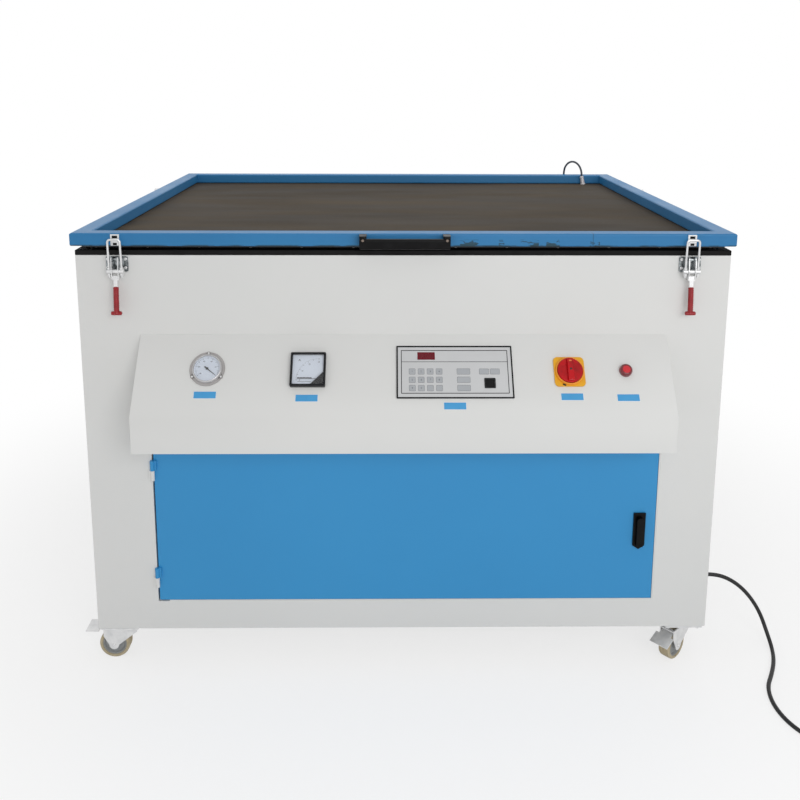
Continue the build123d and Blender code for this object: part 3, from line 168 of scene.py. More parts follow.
# ------------------------------------------------------------------ inner frame
# Posts and rails of welded square tube with the floor sheet that the equipment stands on. The frame is
# sprayed and baked with the same off-white powder paint as the sheets that are fixed round it.
def srgb(red, green, blue):
    """A colour as it is read off a screen, 0 to 255, in the linear values that a shader takes."""
    return tuple((part / 255) ** 2.2 for part in (red, green, blue))


def effect_group(name, numbers, colours):
    """A node group with number and colour inputs, and Colour, Roughness and Height outputs."""
    group = bpy.data.node_groups.new(name, "ShaderNodeTree")
    for socket, value in colours.items():
        made = group.interface.new_socket(socket, in_out="INPUT", socket_type="NodeSocketColor")
        made.default_value = (*value, 1)
    for socket, value in numbers.items():
        made = group.interface.new_socket(socket, in_out="INPUT", socket_type="NodeSocketFloat")
        made.default_value = value
    group.interface.new_socket("Colour", in_out="OUTPUT", socket_type="NodeSocketColor")
    for socket in ("Roughness", "Height"):
        group.interface.new_socket(socket, in_out="OUTPUT", socket_type="NodeSocketFloat")
    return group, group.nodes.new("NodeGroupInput"), group.nodes.new("NodeGroupOutput")


def grain(tree, scale, detail=3.0, stretch=(1, 1, 1), kind="ShaderNodeTexNoise"):
    """A texture on Object coordinates, stretched by a Mapping node; scale is a number or a group's input."""
    where, mapping, texture = (tree.nodes.new(kind_name) for kind_name in
                               ("ShaderNodeTexCoord", "ShaderNodeMapping", kind))
    mapping.inputs["Scale"].default_value = stretch
    link(tree, where, "Object", mapping, "Vector")
    link(tree, mapping, 0, texture, "Vector")
    if isinstance(scale, str):
        link(tree, tree.nodes["Group Input"], scale, texture, "Scale")
    else:
        texture.inputs["Scale"].default_value = scale
    if "Detail" in texture.inputs:
        texture.inputs["Detail"].default_value = detail
    return texture


def blend_colours(tree, factor, factor_socket, first, first_socket, second, second_socket):
    mixer = tree.nodes.new("ShaderNodeMix")
    mixer.data_type = "RGBA"
    link(tree, factor, factor_socket, mixer, 0)
    link(tree, first, first_socket, mixer, 6)
    link(tree, second, second_socket, mixer, 7)
    return mixer


def combined(tree, mode, *parts):
    """Adds or multiplies several outputs, or plain numbers, one after another."""
    total = parts[0]
    for part in parts[1:]:
        step = tree.nodes.new("ShaderNodeMath")
        step.operation = mode
        link(tree, *total, step, 0)
        if isinstance(part, float):
            step.inputs[1].default_value = part
        else:
            link(tree, *part, step, 1)
        total = (step, 0)
    return total


def contrast(tree, source, socket, low, high):
    """Stretches an output from low..high to 0..1 and cuts off what lies outside."""
    step = tree.nodes.new("ShaderNodeMapRange")
    step.inputs["From Min"].default_value, step.inputs["From Max"].default_value = low, high
    link(tree, source, socket, step, "Value")
    return step, 0


powder_paint, start, end = effect_group(
    "powder_paint", {"Mottle": 0.35, "Mottle size": 2.0, "Peel size": 420.0, "Gloss": 0.38},
    {"Paint": (0.8, 0.8, 0.8), "Shade": (0.6, 0.6, 0.6)})
patches = contrast(powder_paint, grain(powder_paint, "Mottle size", 4.0), 0, 0.3, 0.75)
amount = combined(powder_paint, "MULTIPLY", patches, (start, "Mottle"))
tone = blend_colours(powder_paint, *amount, start, "Paint", start, "Shade")
peel = grain(powder_paint, "Peel size", 2.0)
smears = grain(powder_paint, "Mottle size", 6.0, (2.2, 2.2, 0.8))
rough = combined(powder_paint, "MULTIPLY", (smears, 0), 0.22)
rough = combined(powder_paint, "ADD", rough, (start, "Gloss"))
link(powder_paint, tone, 2, end, "Colour")
link(powder_paint, *rough, end, "Roughness")
link(powder_paint, peel, 0, end, "Height")


def finish(name, group, metallic=0.0, bump=(0.1, 0.0003), values=None, **shader):
    """A material: one finish group with its own values, into the Principled shader."""
    made, tree = new_material(name)
    body, effect = tree.nodes.new("ShaderNodeBsdfPrincipled"), tree.nodes.new("ShaderNodeGroup")
    effect.node_tree = group
    for socket, value in (values or {}).items():
        effect.inputs[socket].default_value = (*value, 1) if isinstance(value, tuple) else value
    relief = tree.nodes.new("ShaderNodeBump")
    relief.inputs["Strength"].default_value, relief.inputs["Distance"].default_value = bump
    body.inputs["Metallic"].default_value = metallic
    for socket, value in shader.items():
        body.inputs[socket.replace("_", " ")].default_value = value
    link(tree, effect, "Colour", body, "Base Color")
    link(tree, effect, "Roughness", body, "Roughness")
    link(tree, effect, "Height", relief, "Height")
    link(tree, relief, 0, body, "Normal")
    link(tree, body, 0, tree.nodes["Material Output"], "Surface")
    return made


def dress(material, *names):
    """Gives a kept CAD node its material."""
    for name in names:
        for holder in nodes[name].material_slots:
            holder.material = material


white_paint = finish("white_paint", powder_paint, bump=(0.08, 0.0002), values={
    "Paint": srgb(222, 222, 220), "Shade": srgb(211, 213, 212), "Mottle size": 1.6, "Gloss": 0.4})
dress(white_paint, "inner_frame")


# ------------------------------------------------------------------ cabinet sheets
# Front sheet with the doorway, two side sheets and the rear sheet: 2 mm steel, cut and folded, screwed
# to the frame at the back and welded elsewhere, then powder-painted off-white. Their edges are a little round.
def add_piece(name, body, material, draw, replaces=(), smooth=35):
    """A finished piece: drawn, smooth-shaded up to an angle, given its material and body."""
    made = as_object(name, draw)
    made.data.materials.append(material)
    made.data.shade_smooth()
    made.data.set_sharp_from_angle(angle=radians(smooth))
    even = made.modifiers.new("even_shading", "WEIGHTED_NORMAL")
    even.keep_sharp = True
    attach(made, body)
    if replaces:
        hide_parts(*replaces)
    return made


def rounded_over(b, edges, width, segments=3):
    bmesh.ops.bevel(b, geom=edges, offset=width, offset_type="OFFSET", segments=segments, profile=0.5,
                    affect="EDGES", material=-1, clamp_overlap=True)


def softened(name, node, body, material, width=0.0007):
    """A CAD node's shape with its sharp edges rounded over."""
    def draw(b):
        b.from_mesh(nodes[node].data)
        bmesh.ops.remove_doubles(b, verts=b.verts, dist=1e-5)
        bmesh.ops.dissolve_limit(b, angle_limit=radians(1), verts=b.verts, edges=b.edges)
        sharp = [e for e in b.edges if len(e.link_faces) == 2 and e.calc_face_angle() > radians(40)]
        rounded_over(b, sharp, width)
    return add_piece(name, body, material, draw, [node])


for sheets, node in (("front_sheet", "front_panel"), ("side_sheets", "side_panels"), ("rear_sheet", "rear_panel")):
    softened(sheets, node, "cabinet", white_paint)


def lathe(profile, place, axis, segments=48):
    """Turns an outline of (distance along axis, radius) points round the axis."""
    def draw(b):
        across = axis.orthogonal().normalized()
        ring = [b.verts.new(place + axis * along + across * max(radius, 1e-5)) for along, radius in profile]
        edges = [b.edges.new(pair) for pair in zip(ring, ring[1:])]
        bmesh.ops.spin(b, geom=ring + edges, cent=place, axis=axis, angle=2 * pi, steps=segments, use_merge=True)
        bmesh.ops.remove_doubles(b, verts=b.verts, dist=1.6e-5)
        bmesh.ops.recalc_face_normals(b, faces=b.faces)
    return draw


def several(*draws):
    """Draws several shapes into one mesh."""
    def draw(b):
        for one in draws:
            part = bmesh.new()
            one(part)
            mesh = bpy.data.meshes.new("part")
            part.to_mesh(mesh)
            part.free()
            b.from_mesh(mesh)
            bpy.data.meshes.remove(mesh)
    return draw


plated_steel, start, end = effect_group(
    "plated_steel", {"Blotch size": 60.0, "Line size": 900.0, "Blotch": 0.5, "Gloss": 0.26},
    {"Metal": (0.7, 0.7, 0.7), "Dull": (0.45, 0.46, 0.48)})
patches = contrast(plated_steel, grain(plated_steel, "Blotch size", 5.0), 0, 0.35, 0.7)
amount = combined(plated_steel, "MULTIPLY", patches, (start, "Blotch"))
tone = blend_colours(plated_steel, *amount, start, "Metal", start, "Dull")
lines = grain(plated_steel, "Line size", 2.0, (1, 1, 0.04))
rough = combined(plated_steel, "MULTIPLY", (lines, 0), 0.2)
rough = combined(plated_steel, "ADD", rough, (start, "Gloss"))
link(plated_steel, tone, 2, end, "Colour")
link(plated_steel, *rough, end, "Roughness")
link(plated_steel, lines, 0, end, "Height")

X, Y, Z = Vector((1, 0, 0)), Vector((0, 1, 0)), Vector((0, 0, 1))
zinc = finish("zinc_plating", plated_steel, 0.7, (0.08, 0.0002), {
    "Metal": srgb(226, 226, 226), "Dull": srgb(188, 190, 192), "Gloss": 0.24})


def screw_head(place, axis, radius, height=None, segments=16):
    """A round screw head with a socket in it."""
    high = height or radius * 0.6
    return lathe([(0, 0), (0, radius), (high * 0.5, radius), (high, radius * 0.72), (high, radius * 0.4),
                  (high * 0.45, radius * 0.36), (high * 0.45, 0)], place, axis, segments)


mm = 0.001
panel_low, panel_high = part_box("rear_panel")
screw_places = [(x * 118 * mm, z) for x in range(-6, 7) for z in (panel_low[2] + 20 * mm, panel_high[2] - 20 * mm)]
screw_places += [(side * (panel_high[0] - 20 * mm), 0.12 + step * 0.15) for side in (-1, 1) for step in range(1, 6)]
heads = [screw_head(Vector((x, panel_high[1], z)), Y, 4.2 * mm) for x, z in screw_places]
add_piece("rear_sheet_screws", "cabinet", zinc, several(*heads))

# ------------------------------------------------------------------ equipment inside
# Vacuum pump with its painted motor, the lamp's ballast, capacitor and contactor, and the ultraviolet
# tube in a folded reflector of bright aluminium. They are bolted to the floor sheet.
moulded, start, end = effect_group(
    "moulded", {"Grain size": 900.0, "Wear size": 22.0, "Wear": 0.3, "Gloss": 0.5},
    {"Body": (0.05, 0.05, 0.05), "Worn": (0.12, 0.12, 0.12)})
patches = contrast(moulded, grain(moulded, "Wear size", 6.0), 0, 0.45, 0.72)
amount = combined(moulded, "MULTIPLY", patches, (start, "Wear"))
tone = blend_colours(moulded, *amount, start, "Body", start, "Worn")
pebbles = grain(moulded, "Grain size", kind="ShaderNodeTexVoronoi")
rough = combined(moulded, "MULTIPLY", patches, 0.16)
rough = combined(moulded, "ADD", rough, (start, "Gloss"))
link(moulded, tone, 2, end, "Colour")
link(moulded, *rough, end, "Roughness")
link(moulded, pebbles, 0, end, "Height")

aluminium = finish("rolled_aluminium", plated_steel, 1.0, (0.06, 0.0002), {
    "Metal": (0.78, 0.79, 0.8), "Dull": (0.62, 0.63, 0.65), "Blotch size": 18.0, "Gloss": 0.2})
dress(finish("pump_paint", powder_paint, bump=(0.3, 0.0004), values={
    "Paint": srgb(96, 108, 116), "Shade": srgb(70, 80, 88), "Mottle size": 14.0, "Gloss": 0.4}), "vacuum_pump")
dress(finish("ballast_lacquer", powder_paint, bump=(0.2, 0.0003), values={
    "Paint": srgb(150, 152, 154), "Shade": srgb(120, 122, 126), "Mottle size": 12.0}), "lamp_ballast")
dress(aluminium, "uv_lamp")
pump_low, pump_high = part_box("vacuum_pump")
motor_axis = Vector((pump_low[0], (pump_low[1] + pump_high[1]) / 2, pump_low[2] + 82 * mm))
pump_iron = nodes["vacuum_pump"].material_slots[0].material
fins = [lathe([(0, 0), (0, 62.5 * mm), (2.2 * mm, 62.5 * mm), (2.2 * mm, 0)], motor_axis + X * (28 + 8 * step) * mm, X)
        for step in range(18)]
add_piece("pump_motor_fins", "cabinet", pump_iron, several(*fins))
lamp_low, lamp_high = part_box("uv_lamp")
tube_middle = Vector((0, (lamp_low[1] + lamp_high[1]) / 2, lamp_high[2] - 55 * mm))
tube_glass = finish("lamp_tube_glass", moulded, bump=(0.0, 0.0001), Coat_Weight=0.6, values={
    "Body": srgb(226, 228, 238), "Worn": srgb(206, 210, 226), "Gloss": 0.12})
tube_outline = [(-139 * mm, 0), (-139 * mm, 14.4 * mm), (-118 * mm, 14.4 * mm), (-117 * mm, 14.9 * mm),
                (117 * mm, 14.9 * mm), (118 * mm, 14.4 * mm), (139 * mm, 14.4 * mm), (139 * mm, 0)]
add_piece("lamp_tube_sleeve", "cabinet", tube_glass, lathe(tube_outline, tube_middle, X))

# ------------------------------------------------------------------ rim and glass
# Four strips of black sponge rubber glued on the cabinet's top edge, mitred at the corners, and inside
# them the clear glass plate on which the screen lies. Wiping leaves faint smears on the glass.
rim_rubber = finish("rim_rubber", moulded, bump=(0.5, 0.0005), Specular_IOR_Level=0.2, values={
    "Body": srgb(9, 9, 9), "Worn": srgb(22, 21, 20), "Gloss": 0.62, "Grain size": 1400.0})
softened("rim_strips", "top_rim", "cabinet", rim_rubber, 0.0015)


def see_through(name, tint, smeared, passing):
    """Glass that refracts for the eye and lets light pass straight through to what lies behind it."""
    made = finish(name, powder_paint, bump=(0.0, 0.0001), Transmission_Weight=1.0, IOR=1.5, values={
        "Paint": tint, "Shade": smeared, "Gloss": -0.08, "Mottle size": 3.0})
    tree = made.node_tree
    straight, choose = tree.nodes.new("ShaderNodeBsdfTransparent"), tree.nodes.new("ShaderNodeMixShader")
    straight.inputs["Color"].default_value = (*passing, 1)
    link(tree, either(tree, "Is Shadow Ray", "Is Diffuse Ray"), 0, choose, 0)
    link(tree, tree.nodes["Principled BSDF"], 0, choose, 1)
    link(tree, straight, 0, choose, 2)
    link(tree, choose, 0, tree.nodes["Material Output"], "Surface")
    return made


clear_glass = see_through("clear_glass", srgb(240, 248, 244), srgb(232, 244, 239), (0.9, 0.94, 0.92))
dress(clear_glass, "glass_plate")

# ------------------------------------------------------------------ lid frame
# Four mitred square tubes, welded, ground flush and sprayed blue. The lower edge of the front bar is worn,
# right of the handle the paint has flaked in five spots, and a joint in the tube shows as a fine line.
lid_low, lid_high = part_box("lid_frame")
lid_blue = finish("lid_blue", powder_paint, bump=(0.12, 0.0003), Specular_IOR_Level=0.35, values={
    "Paint": srgb(50, 122, 174), "Shade": srgb(38, 100, 150), "Mottle size": 3.0, "Gloss": 0.3})
tree = lid_blue.node_tree
where, parts = tree.nodes.new("ShaderNodeTexCoord"), tree.nodes.new("ShaderNodeSeparateXYZ")
link(tree, where, "Object", parts, 0)
front_only = contrast(tree, parts, "Y", lid_low[1] + 30 * mm, lid_low[1] + 20 * mm)
along_bar = contrast(tree, parts, "X", 0.10, 0.46)
knocked = tree.nodes.new("ShaderNodeValToRGB")
knocked.color_ramp.interpolation = "CONSTANT"
knocked.color_ramp.elements[0].color, knocked.color_ramp.elements[1].color = (0, 0, 0, 1), (0, 0, 0, 1)
for first, last in ((0.125, 0.188), (0.213, 0.226), (0.262, 0.305), (0.322, 0.352), (0.422, 0.444)):
    knocked.color_ramp.elements.new((first - 0.10) / 0.36).color = (1, 1, 1, 1)
    knocked.color_ramp.elements.new((last - 0.10) / 0.36).color = (0, 0, 0, 1)
link(tree, *along_bar, knocked, 0)
flakes = grain(tree, 34.0, 8.0, (0.55, 1, 1.7))
off_middle = combined(tree, "SUBTRACT", (flakes, 0), 0.52)
outline = contrast(tree, *combined(tree, "MULTIPLY", off_middle, off_middle), 0.0004, 0.0001)
low_half = contrast(tree, parts, "Z", lid_low[2] + 18 * mm, lid_low[2] + 12 * mm)
flaked = combined(tree, "MULTIPLY", outline, low_half, (knocked, 0), front_only)
deep_flakes = contrast(tree, flakes, 0, 0.49, 0.52)
low_quarter = contrast(tree, parts, "Z", lid_low[2] + 11 * mm, lid_low[2] + 7 * mm)
gouged = combined(tree, "MULTIPLY", deep_flakes, low_quarter, (knocked, 0), front_only)
ragged = contrast(tree, grain(tree, 22.0, 6.0, (1, 1, 0.2)), 0, 0.42, 0.52)
last_edge = contrast(tree, parts, "Z", lid_low[2] + 4.5 * mm, lid_low[2] + 2.5 * mm)
worn_edge = combined(tree, "MULTIPLY", last_edge, ragged, front_only, 0.8)
joint_left, joint_right = (contrast(tree, parts, "X", *span) for span in ((0.4275, 0.4285), (0.4305, 0.4295)))
joint = combined(tree, "MULTIPLY", joint_left, joint_right, front_only, 0.55)
bare = combined(tree, "MAXIMUM", flaked, gouged, worn_edge, joint)
mixer = tree.nodes.new("ShaderNodeMix")
mixer.data_type = "RGBA"
mixer.inputs[7].default_value = (*srgb(36, 68, 82), 1)
link(tree, *bare, mixer, 0)
link(tree, tree.nodes["Group"], "Colour", mixer, 6)
link(tree, mixer, 2, tree.nodes["Principled BSDF"], "Base Color")
dress(lid_blue, "lid_frame")

# ------------------------------------------------------------------ rubber blanket
# One sheet of brown-grey rubber under the lid frame, pulled tight between the frame and the clamp bars.
# Long faint streaks, darker clouds and a few shallow swells cross it.
blanket_low, blanket_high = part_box("rubber_blanket")
blanket_wide, blanket_deep, blanket_top = (blanket_high[0] - blanket_low[0], blanket_high[1] - blanket_low[1],
                                           blanket_high[2])
blanket_thick = 3 * mm


def blanket_sheet(b):
    cells = (92, 74)
    bmesh.ops.create_grid(b, x_segments=cells[0], y_segments=cells[1], size=0.5)
    bmesh.ops.scale(b, vec=(blanket_wide, blanket_deep, 1), verts=b.verts)
    bmesh.ops.translate(b, vec=(0, (blanket_low[1] + blanket_high[1]) / 2, blanket_top), verts=b.verts)
    for vertex in b.verts:
        x, y, z = vertex.co
        inward = min(blanket_high[0] - abs(x), y - blanket_low[1], blanket_high[1] - y)
        free = min(1, max(0, (inward - 24 * mm) / (70 * mm)))
        swell = noise.fractal(Vector((x * 1.6, y * 4.5, 0.3)), 1.0, 2.0, 3)
        pucker = noise.noise(Vector((x * 9, y * 16, 2.0)))
        vertex.co.z = z + free * (1.2 + 1.5 * swell + 0.35 * pucker) * mm


rubber_sheet, start, end = effect_group(
    "rubber_sheet", {"Streak size": 5.0, "Gloss": 0.55},
    {"Body": srgb(61, 54, 45), "Pale": srgb(80, 71, 59), "Dark": srgb(40, 36, 31)})
streaks = contrast(rubber_sheet, grain(rubber_sheet, "Streak size", 8.0, (0.45, 2.4, 1)), 0, 0.42, 0.62)
clouds = contrast(rubber_sheet, grain(rubber_sheet, "Streak size", 5.0, (0.4, 0.9, 1)), 0, 0.4, 0.66)
tone = blend_colours(rubber_sheet, *streaks, start, "Body", start, "Pale")
faded = combined(rubber_sheet, "MULTIPLY", clouds, 0.45)
tone = blend_colours(rubber_sheet, *faded, tone, 2, start, "Dark")
fine = grain(rubber_sheet, 380.0, 2.0, (1, 3, 1))
rough = combined(rubber_sheet, "MULTIPLY", streaks, 0.12)
rough = combined(rubber_sheet, "ADD", rough, (start, "Gloss"))
link(rubber_sheet, tone, 2, end, "Colour")
link(rubber_sheet, *rough, end, "Roughness")
link(rubber_sheet, fine, 0, end, "Height")

blanket_rubber = finish("blanket_rubber", rubber_sheet, bump=(0.2, 0.0004), Specular_IOR_Level=0.06)
blanket = as_object("blanket_sheet", blanket_sheet)
blanket.data.materials.append(blanket_rubber)
blanket.data.shade_smooth()
wall = blanket.modifiers.new("rubber_thickness", "SOLIDIFY")
wall.thickness, wall.offset = blanket_thick, -1
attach(blanket, "lid")
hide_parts("rubber_blanket")

# ------------------------------------------------------------------ seal bead and clamp bars
# A black rubber bead glued under the blanket, which closes on the glass, and round it four flat bars whose
# screws clamp the blanket's edge to the lid frame. The bars' black is painted shade for the gap under the frame.
seal_rubber = finish("seal_rubber", moulded, bump=(0.3, 0.0004), Specular_IOR_Level=0.3, values={
    "Body": srgb(20, 20, 22), "Worn": srgb(36, 36, 37), "Gloss": 0.55, "Grain size": 1200.0})
softened("seal_bead", "lid_seal", "lid", seal_rubber, 0.002)
black_enamel_and_painted_shade = finish("black_enamel_and_painted_shade", powder_paint, bump=(0.05, 0.0002), values={
    "Paint": srgb(24, 24, 26), "Shade": srgb(36, 36, 38), "Mottle size": 20.0, "Gloss": 0.24})
# The clamp bars get the black enamel as painted shade for the dark gap under the lid frame.
softened("clamp_bars", "blanket_clamps", "lid", black_enamel_and_painted_shade, 0.0005)
clamp_low, clamp_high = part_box("blanket_clamps")
clamp_line = 8 * mm
heads = []
for step in range(13):
    x = (step - 6) * 0.118
    heads += [Vector((x, y, clamp_low[2])) for y in (clamp_low[1] + clamp_line, clamp_high[1] - clamp_line)]
for step in range(9):
    y = (clamp_low[1] + clamp_high[1]) / 2 + (step - 4) * 0.125
    heads += [Vector((x, y, clamp_low[2])) for x in (clamp_low[0] + clamp_line, clamp_high[0] - clamp_line)]
add_piece("clamp_screws", "lid", zinc,
          several(*[screw_head(head, -Z, 4 * mm, 1.8 * mm, 12) for head in heads]))

# ------------------------------------------------------------------ handle
# Black moulded bow handle on the middle of the front bar: a rounded grip between two feet, each held by
# a screw whose dull steel head shows in front.
handle_black = finish("handle_black", moulded, bump=(0.15, 0.0003), Specular_IOR_Level=0.14, values={
    "Body": srgb(8, 8, 10), "Worn": srgb(26, 26, 28), "Wear": 0.4, "Gloss": 0.3, "Wear size": 60.0})
softened("handle_bow", "lid_handle", "lid", handle_black, 0.0035)
handle_low, handle_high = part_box("lid_handle")
heads = [screw_head(Vector((side * 94.5 * mm, handle_low[1], 1.082)), -Y, 3.1 * mm, 1.4 * mm) for side in (-1, 1)]
dull_steel = finish("dull_screw_steel", plated_steel, 0.6, (0.05, 0.0001), {
    "Metal": srgb(132, 118, 108), "Dull": srgb(92, 82, 76), "Gloss": 0.35})
add_piece("handle_screws", "lid", dull_steel, several(*heads))

# ------------------------------------------------------------------ lid hinges
# Three welded steel hinges behind the unit: zinc-plated leaves on the rear sheet, straps on the lid's
# rear bar, and a headed pin through each.
dress(zinc, "lid_hinge_leaves", "lid_hinge_straps")
leaf_heads, strap_heads = [], []
for middle in (-0.5, 0, 0.5):
    for side in (-1, 1):
        for height in (0.994, 1.012):
            leaf_heads.append(screw_head(Vector((middle + side * 30 * mm, 0.654, height)), Y, 4 * mm))
        strap_heads.append(screw_head(Vector((middle + side * 32 * mm, 0.661, 1.079)), Y, 4 * mm))
add_piece("hinge_leaf_screws", "cabinet", zinc, several(*leaf_heads))
add_piece("hinge_strap_screws", "lid", zinc, several(*strap_heads))

# ------------------------------------------------------------------ gas springs
# Two gas springs beside the cabinet hold the lid up: black enamelled cylinders below, chromed rods with
# their eyes on the lid, on zinc-plated studs with nuts.
chrome = finish("chrome", plated_steel, 1.0, (0.02, 0.0001), {
    "Metal": (0.8, 0.81, 0.82), "Dull": (0.7, 0.71, 0.73), "Gloss": 0.06})
dress(black_enamel_and_painted_shade, "gas_spring_cylinder_left", "gas_spring_cylinder_right")
dress(zinc, "gas_spring_panel_studs", "gas_spring_lid_studs")
stud_low, stud_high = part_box("gas_spring_lid_studs")
stud_y, stud_z = (stud_low[1] + stud_high[1]) / 2, (stud_low[2] + stud_high[2]) / 2


def rod_with_clear_eye(node):
    """A spring's rod whose eye clears its stud by a hair, in the bore and at both sides, as it swings."""
    low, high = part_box(node)
    middle = (low[0] + high[0]) / 2

    def draw(b):
        b.from_mesh(nodes[node].data)
        for vertex in b.verts:
            outward = Vector((0, vertex.co.y - stud_y, vertex.co.z - stud_z))
            if outward.length < 5.4 * mm:
                vertex.co += outward.normalized() * 0.2 * mm
            vertex.co.x = middle + (vertex.co.x - middle) * 0.97
    return draw


for name in ("left", "right"):
    add_piece(f"spring_rod_{name}", f"gas_rod_{name}", chrome,
              rod_with_clear_eye(f"gas_spring_rod_{name}"), [f"gas_spring_rod_{name}"])

# ------------------------------------------------------------------ latches
# Two toggle latches of zinc-plated steel: a base on the cabinet, a bow bolt that hooks the keeper on the
# lid, and a lever whose lower end is dipped in dark red vinyl that has gathered in soft ribs.
# The bases' zinc gets deep dark blotches: painted shade for the shadowed gaps between base and lever.
zinc_painted_shade = finish("zinc_in_shade", plated_steel, 0.9, (0.1, 0.0003), {
    "Metal": srgb(168, 174, 176), "Dull": srgb(52, 58, 60), "Blotch size": 110.0, "Blotch": 0.95, "Gloss": 0.16})
softened("latch_plates", "latch_bases", "cabinet", zinc_painted_shade, 0.0004)
softened("latch_hooks", "latch_keepers", "lid", zinc, 0.0005)
latch_x = 655 * mm
panel_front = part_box("front_panel")[0][1]
plate_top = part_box("latch_bases")[1][2]
heads = [Vector((side * latch_x + across * 20 * mm, panel_front - 5 * mm, plate_top - below * mm))
         for side in (-1, 1) for across in (-1, 1) for below in (8, 28)]
add_piece("latch_screws", "cabinet", zinc, several(*[screw_head(head, -Y, 3.6 * mm, 1.4 * mm) for head in heads]))
keeper_face, keeper_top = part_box("latch_keepers")[1][1] - 3 * mm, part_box("latch_keepers")[1][2]


def block(low, high):
    """A box between two corners."""
    def draw(b):
        size = Matrix.Diagonal((*(high - low), 1))
        bmesh.ops.create_cube(b, size=1, matrix=Matrix.Translation((low + high) / 2) @ size)
    return draw


# Black patches on each keeper's face are painted shade where its hook openings are.
painted_shade_slots = [block(Vector((side * latch_x - half * mm, keeper_face - 0.2 * mm, keeper_top - bottom * mm)),
                  Vector((side * latch_x + half * mm, keeper_face + 1 * mm, keeper_top - top * mm)))
            for side in (-1, 1) for half, top, bottom in ((6, 3, 9), (4.5, 19.5, 25))]
add_piece("keeper_painted_shade_slots", "lid", handle_black, several(*painted_shade_slots))
dress(zinc, "latch_bolt_left", "latch_bolt_right", "latch_lever_left", "latch_lever_right")
grip_vinyl = finish("grip_vinyl", moulded, bump=(0.15, 0.0003), values={
    "Body": srgb(150, 12, 26), "Worn": srgb(104, 8, 18), "Wear": 0.5, "Gloss": 0.3, "Wear size": 90.0})
latch_pivot = Vector((0, -567.94, 1034)) * mm
lever_turn = radians(5)
stem_out = 2.44 * mm


def on_lever(x, below):
    """A point on the lever's stem, some way below its pivot."""
    along = Vector((0, stem_out * cos(lever_turn) - below * sin(lever_turn),
                    -below * cos(lever_turn) - stem_out * sin(lever_turn)))
    return latch_pivot + along + X * x


for side, name in ((-1, "left"), (1, "right")):
    grip_top, grip_end = on_lever(side * latch_x, 63 * mm), on_lever(side * latch_x, 124 * mm)
    down = (grip_end - grip_top).normalized()
    outline = [(0, 0), (0, 3.6 * mm), (1.2 * mm, 5.6 * mm)]
    for rib in range(13):
        outline += [((3.2 + 4.4 * rib) * mm, 6.5 * mm), ((5.4 + 4.4 * rib) * mm, 5.8 * mm)]
    outline += [(61 * mm, 6.6 * mm), (63.4 * mm, 5.6 * mm), (64.4 * mm, 0)]
    flare = [(-12.2 * mm, 0), (-12 * mm, 3 * mm), (-11.2 * mm, 4.3 * mm), (-5 * mm, 4.7 * mm), (5 * mm, 4.7 * mm),
             (11.2 * mm, 4.3 * mm), (12 * mm, 3 * mm), (12.2 * mm, 0)]
    add_piece(f"latch_grip_{name}", f"latch_lever_{name}", grip_vinyl,
              several(lathe(outline, grip_top, down, 24), lathe(flare, grip_end, X, 24)))

# ------------------------------------------------------------------ console housing with its labels
# A folded and welded sheet housing whose sloping top holds the instruments, painted like the cabinet.
# Under each instrument a small blue plate is glued on; its bevelled edge shows the white core.
softened("console_box", "console_housing", "cabinet", white_paint, 0.0012)
slope_top, slope_fall = Vector((0, -551, 853)) * mm, Vector((0, -122, -155)) * mm
slope_down = slope_fall.normalized()
slope_out = X.cross(-slope_down)


def on_slope(x, down, height=0.0):
    """A local frame on the slope: X to the right, Y up the slope, Z outwards; millimetres."""
    turn = Matrix((X, -slope_down, slope_out)).transposed().to_4x4()
    spot = slope_top + X * x * mm + slope_down * down * mm + slope_out * height * mm
    return Matrix.Translation(spot) @ turn


def placed(where, *draws):
    """Draws shapes in a local frame and sets them at their place."""
    def draw(b):
        several(*draws)(b)
        bmesh.ops.transform(b, matrix=where, verts=b.verts)
    return draw


def plate(width, depth, low, high, corner=0.0, edge=0.0, at=(0, 0)):
    """A flat plate with round corners and a softened upper edge; millimetres."""
    def draw(b):
        size = Matrix.Diagonal((width * mm, depth * mm, (high - low) * mm, 1))
        middle = Matrix.Translation((at[0] * mm, at[1] * mm, (low + high) / 2 * mm))
        bmesh.ops.create_cube(b, size=1, matrix=middle @ size)
        if corner:
            upright = [e for e in b.edges if abs(e.verts[0].co.z - e.verts[1].co.z) > 1e-6]
            rounded_over(b, upright, corner * mm, 5)
        if edge:
            top = [e for e in b.edges if all(v.co.z > high * mm - 1e-6 for v in e.verts)]
            rounded_over(b, top, edge * mm, 2)
    return draw


label_blue = finish("label_blue", moulded, bump=(0.03, 0.0001), values={
    "Body": srgb(66, 154, 212), "Worn": srgb(90, 170, 218), "Gloss": 0.3})
label_core = finish("label_core", moulded, bump=(0.03, 0.0001), values={
    "Body": srgb(232, 236, 238), "Worn": srgb(220, 224, 226), "Gloss": 0.4})
label_spots = ((-448, 145.6), (-220, 153), (112.5, 171.5), (377, 150.5), (503.6, 152.7))
places = [on_slope(*spot) for spot in label_spots]
add_piece("label_cores", "cabinet", label_core,
          several(*[placed(place, plate(51, 17, 0, 0.8, 0.6, 0.3)) for place in places]))
add_piece("label_faces", "cabinet", label_blue,
          several(*[placed(place, plate(49.6, 15.6, 0.7, 1.1, 0.5, 0.2)) for place in places]))

# ------------------------------------------------------------------ vacuum gauge
# Panel gauge: a pressed steel flange with three lugs and their screws, a rolled bezel, a white printed
# dial with plain numbers, a black pointer and a flat glass.
gauge_place = on_slope(-448, 84.8)
gauge_steel = finish("gauge_steel", plated_steel, 0.6, (0.08, 0.0002), {
    "Metal": srgb(164, 161, 160), "Dull": srgb(132, 129, 128), "Blotch size": 40.0, "Gloss": 0.3})
window_glass = see_through("window_glass", (0.97, 0.98, 1.0), (0.94, 0.96, 1.0), (0.98, 0.99, 1.0))
origin = Vector((0, 0, 0))


def turned_piece(*points, at=origin, segments=64):
    """A lathe on the local Z axis, from (height, radius) points in millimetres."""
    return lathe([(height * mm, radius * mm) for height, radius in points], at, Z, segments)


